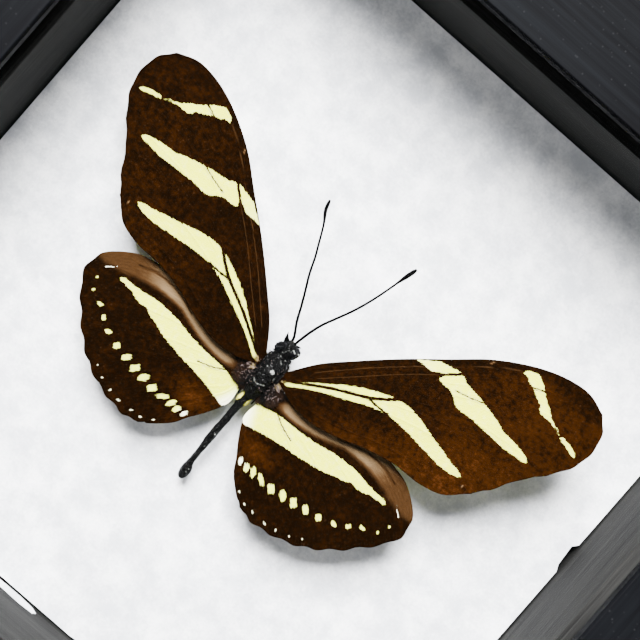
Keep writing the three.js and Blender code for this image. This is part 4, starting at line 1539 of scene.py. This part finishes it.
@dataclass
class Limb:
    """A round limb along a smooth path, with joints or beads along it."""

    path: Sequence[Sequence[float]]
    radius: float
    end_radius: float
    rings: int = 60
    beads: int = 0
    around: int = 10

    def radius_at(self, share: float) -> float:
        """Radius at one place.

        Args:
            share: Share of the length.

        Returns:
            The radius in mm.
        """
        radius = self.radius + (self.end_radius - self.radius) * share
        if self.end_radius > self.radius:
            here = np.array(share)
            swell = float(smoothstep(0.82, 0.93, here) * (1.0 - 0.75 * smoothstep(0.965, 1.0, here)))
            radius = self.radius * (1.0 - 0.25 * share) + (self.end_radius - self.radius * 0.75) * swell
        if self.beads:
            radius *= 1.0 + 0.05 * math.cos(2 * math.pi * self.beads * share)
        return radius

    def build(self, name: str) -> Piece:
        """Draws the limb out along its path, closed at both ends.

        Args:
            name: The piece's name.

        Returns:
            The limb.
        """
        track = Track(self.path)
        places = [Vector(track.at(k / self.rings)) for k in range(self.rings + 1)]
        tangent = (places[1] - places[0]).normalized()
        turns = [Vector((0, 0, 1)).rotation_difference(tangent)]
        for k in range(1, self.rings + 1):
            ahead = (places[min(k + 1, self.rings)] - places[k - 1]).normalized()
            turns.append(tangent.rotation_difference(ahead) @ turns[-1])
            tangent = ahead

        def corner(row: int, angle: float) -> Vector:
            """A place on the limb, in metres."""
            out = turns[row] @ Vector((math.cos(angle), math.sin(angle), 0.0))
            return (places[row] + out * self.radius_at(row / self.rings) + Vector((0.0, 0.0, BED))) * MM

        bm = drawn_out(self.around, self.rings + 1, corner)
        bmesh.ops.recalc_face_normals(bm, faces=bm.faces)
        return finish_mesh(name, bm)


FEELER_PATHS = {
    Side.LEFT: ((-0.62, 2.6, 4.72), (-0.82, 3.35, 4.9), (-1.98, 5.3, 5.1), (-3.0, 7.5, 5.25), (-4.0, 9.5, 5.4),
                (-5.0, 11.45, 5.55), (-6.0, 13.9, 5.75), (-6.7, 15.3, 5.9), (-8.0, 17.9, 6.1),
                (-9.1, 19.6, 6.25), (-9.55, 21.0, 6.4)),
    Side.RIGHT: ((-0.06, 2.66, 4.72), (-0.02, 3.1, 4.85), (0.42, 5.3, 5.1), (1.0, 7.2, 5.25), (2.0, 9.4, 5.4),
                 (3.0, 11.6, 5.55), (4.0, 14.45, 5.75), (4.7, 17.0, 5.9), (5.3, 19.5, 6.1), (5.88, 21.65, 6.3)),
}

PALP_RADII = {Side.LEFT: 0.66, Side.RIGHT: 0.3}
CLUB_RADII = {Side.LEFT: 0.26, Side.RIGHT: 0.33}

PALP_PATHS = {
    Side.LEFT: ((-0.9, 2.0, 3.9), (-1.15, 2.2, 4.3), (-1.42, 2.5, 4.7), (-1.7, 2.98, 4.95), (-1.92, 3.46, 5.1)),
    Side.RIGHT: ((0.05, 2.3, 3.7), (0.24, 2.48, 3.12), (0.55, 2.62, 3.15), (0.85, 2.74, 3.7),
                 (0.92, 2.84, 4.4)),
}


@dataclass(frozen=True)
class LegPlan:
    """One leg, folded back under the body, in mm from the body line.

    It holds the name, the hip's distance out, place and height, how long the leg is and
    how far it reaches out.
    """

    name: str
    x: float
    y: float
    z: float
    length: float
    reach: float

    def path(self, side: Side) -> list[tuple[float, float, float]]:
        """Lays the leg on one side.

        Args:
            side: The side.

        Returns:
            Its path from the hip to the claw, above the backing in mm.
        """
        sign = side.value
        middle = BODY_X + sign * (self.x + self.reach * 0.75)
        hip, knee = BODY_X + sign * (self.x - 0.2), BODY_X + sign * (self.x + 0.3)
        return [
            (hip, self.y, self.z), (knee, self.y, 2.8), (middle, self.y - 0.05, 1.95),
            (middle - sign * 0.05, self.y - 0.3 * self.length, 0.95),
            (middle - sign * 0.2, self.y - 0.62 * self.length, 0.74),
            (middle - sign * 0.3, self.y - self.length, 0.66),
        ]


LEGS = (LegPlan("fore", 0.85, -0.95, 3.2, 1.7, 0.3), LegPlan("mid", 1.2, -2.3, 3.3, 2.3, 0.66),
        LegPlan("hind", 1.1, -5.2, 3.25, 2.8, 0.6))


@dataclass(frozen=True)
class TongueCoil:
    """The coiled tongue under the head, in mm above the backing."""

    mouth: tuple[float, float, float] = (-0.35, 2.05, 3.4)
    centre: Pair = (1.75, 1.68)
    outer: float = 1.02
    shrink: float = 0.72
    turns: float = 1.35
    steps: int = 14

    def path(self) -> list[tuple[float, float, float]]:
        """Coils the tongue.

        Returns:
            Its path from the mouth inwards.
        """
        path = [self.mouth]
        for k in range(self.steps + 1):
            share = k / self.steps
            angle = math.pi / 2 + 2 * math.pi * self.turns * share
            radius = self.outer - self.shrink * share
            y, z = self.centre[0] + radius * math.cos(angle), self.centre[1] + radius * math.sin(angle)
            path.append((self.mouth[0], y, z))
        return path


class TuftCoat:
    """Many small three-sided tufts joined into one coat, each with its place on the skin."""

    def __init__(self, name: str, root: Sequence[float], tip: Sequence[float]) -> None:
        """Starts an empty coat.

        Args:
            name: The coat's name.
            root: Colour of its darkest tufts.
            tip: Colour of its lightest tufts.
        """
        self.name = name
        self.bm = bmesh.new()
        self.layer = self.bm.loops.layers.uv.new("OFBake")
        shade = Shade(name)
        share = shade.noise(2500.0, 2.0)
        base = shade.mix(shade.step(share, 0.35, 0.65), tuple(root), tuple(tip))
        self.material = shade.close(base, 0.55, shade.bump(share, 0.00001), gloss=0.05)

    def plant(self, root: Vector, lie: Vector, out: Vector, length: float, width: float, place: Pair) -> None:
        """Adds one bent, tapering tuft.

        Args:
            root: Where it grows, in mm.
            lie: The way it points.
            out: Away from the skin.
            length: Its length in mm.
            width: Its half width at the root in mm.
            place: The root's place on the skin's unwrap.
        """
        side = lie.cross(out).normalized()
        middle = root + lie * length * 0.55 + out * length * 0.12
        tip = root + lie * length
        low = [root + side * width, root - side * width, root + out * width * 0.9]
        mid = [middle + side * width * 0.7, middle - side * width * 0.7, middle + out * width * 0.6]
        bottom = [self.bm.verts.new(p * MM) for p in low]
        upper = [self.bm.verts.new(p * MM) for p in mid]
        top = self.bm.verts.new(tip * MM)
        faces = [self.bm.faces.new((bottom[0], bottom[2], bottom[1]))]
        for k in range(3):
            n = (k + 1) % 3
            faces.append(self.bm.faces.new((bottom[k], bottom[n], upper[n], upper[k])))
            faces.append(self.bm.faces.new((upper[k], upper[n], top)))
        for face in faces:
            for k, loop in enumerate(face.loops):
                loop[self.layer].uv = (place[0] % 1.0 + 0.0015 * (k % 2), place[1] % 1.0 + 0.0015 * (k // 2))

    def finish(self) -> Piece:
        """Makes the coat a piece."""
        bmesh.ops.recalc_face_normals(self.bm, faces=self.bm.faces)
        return finish_mesh(self.name, self.bm)


@dataclass
class Specimen:
    """The spread butterfly."""

    scales: WingScales = field(default_factory=WingScales)
    body: BodyForm = field(default_factory=BodyForm)

    def build(self) -> None:
        """Builds the four wings and the body."""
        # The right forewing's last number, 0.8 against 0.22 on the left, is warmth that is partly painted sheen
        # from its tilt towards the light.
        fore = {Side.LEFT: Placing(0.0, -1.1, 0.0, 0.987, 0.22), Side.RIGHT: Placing(0.09, 0.0, 0.0, 1.0, 0.8)}
        hind = {Side.LEFT: Placing(0.0, 0.0, -0.3, 0.995, 0.25), Side.RIGHT: Placing(0.07, 0.0, 0.0, 1.0, 0.2)}
        material = self.scales.build("wing_scales")
        for side in Side:
            for plan, placing in ((FOREWING, fore[side]), (HINDWING, hind[side])):
                Wing(plan, side, placing).build(material)
        self.body.build()


@dataclass
class Studio:
    """Pale floor, soft light and the photograph's camera."""

    position: tuple[float, float, float] = (-7.533, 9.014, 193.915)
    right: tuple[float, float, float] = (0.755, 0.6551, 0.0279)
    forward: tuple[float, float, float] = (0.044, -0.0081, -0.999)
    up: tuple[float, float, float] = (-0.56, 0.828, 0.0)
    lens: float = 72.0
    sensor: float = 36.0
    floor_half: float = 3.0
    key_lean: float = 47.0
    key_reach: float = 1.2
    key_size: float = 0.72
    key_power: float = 206.0
    fill_rise: float = 0.55
    fill_reach: float = 0.9
    fill_size: float = 0.6
    fill_power: float = 3.0
    sky: Colour = (0.95, 0.97, 1.0, 1.0)
    sky_strength: float = 0.26

    def build(self) -> None:
        """Builds the studio."""
        self.build_camera()
        self.build_floor()
        self.build_lights()

    def build_camera(self) -> None:
        """Places the camera over the case, turned as the photograph is."""
        data = bpy.data.cameras.new("photo_camera")
        data.lens = self.lens
        data.sensor_width = self.sensor
        data.clip_start = 0.01
        camera = bpy.data.objects.new("photo_camera", data)
        bpy.context.scene.collection.objects.link(camera)
        forward = Vector(self.forward).normalized()
        right = Vector(self.right)
        right = (right - forward * right.dot(forward)).normalized()
        up = right.cross(forward)
        turn = Matrix((right, up, -forward)).transposed().to_4x4()
        camera.matrix_world = Matrix.Translation(Vector(self.position) * MM) @ turn
        bpy.context.scene.camera = camera

    def build_floor(self) -> None:
        """A wide pale floor."""
        bm = bmesh.new()
        bmesh.ops.create_grid(bm, x_segments=1, y_segments=1, size=self.floor_half)
        floor = finish_mesh("studio_floor", bm)
        shade = Shade("studio_floor")
        cloud = shade.noise(3.0, 2.0)
        base = shade.mix(cloud, colour(214, 213, 210), colour(222, 221, 219))
        floor.data.materials.append(shade.close(base, 0.9))

    def build_lights(self) -> None:
        """A broad soft light from the photograph's top and a gentle sky."""
        up, right = Vector(self.up), Vector(self.right)
        lean = math.radians(self.key_lean)
        away = up.normalized() * math.cos(lean) + Vector((0, 0, math.sin(lean)))
        self.area("key_light", away * self.key_reach, self.key_size, self.key_power)
        low = Vector((0.0, 0.0, self.fill_rise))
        for name, aside in (("left_fill", -right), ("right_fill", right), ("near_fill", -up)):
            self.area(name, (aside + low).normalized() * self.fill_reach, self.fill_size, self.fill_power)
        world = bpy.data.worlds.new("studio_sky")
        world.use_nodes = True
        sky = world.node_tree.nodes["Background"].inputs
        sky["Color"].default_value = self.sky
        sky["Strength"].default_value = self.sky_strength
        bpy.context.scene.world = world

    def area(self, name: str, place: Vector, size: float, power: float) -> None:
        """Adds a square soft light that faces the specimen.

        Args:
            name: The light's name.
            place: Where it hangs, in metres.
            size: Its side in metres.
            power: Its power in watts.
        """
        data = bpy.data.lights.new(name, "AREA")
        data.size = size
        data.energy = power
        light = bpy.data.objects.new(name, data)
        light.location = place
        light.rotation_euler = place.to_track_quat("Z", "Y").to_euler()
        bpy.context.scene.collection.objects.link(light)


def main() -> None:
    """Builds the case, the specimen and the studio."""
    logging.basicConfig(level=logging.INFO)
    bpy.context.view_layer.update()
    ShadowBox().build()
    Specimen().build()
    Studio().build()


if __name__ == "__main__":
    main()
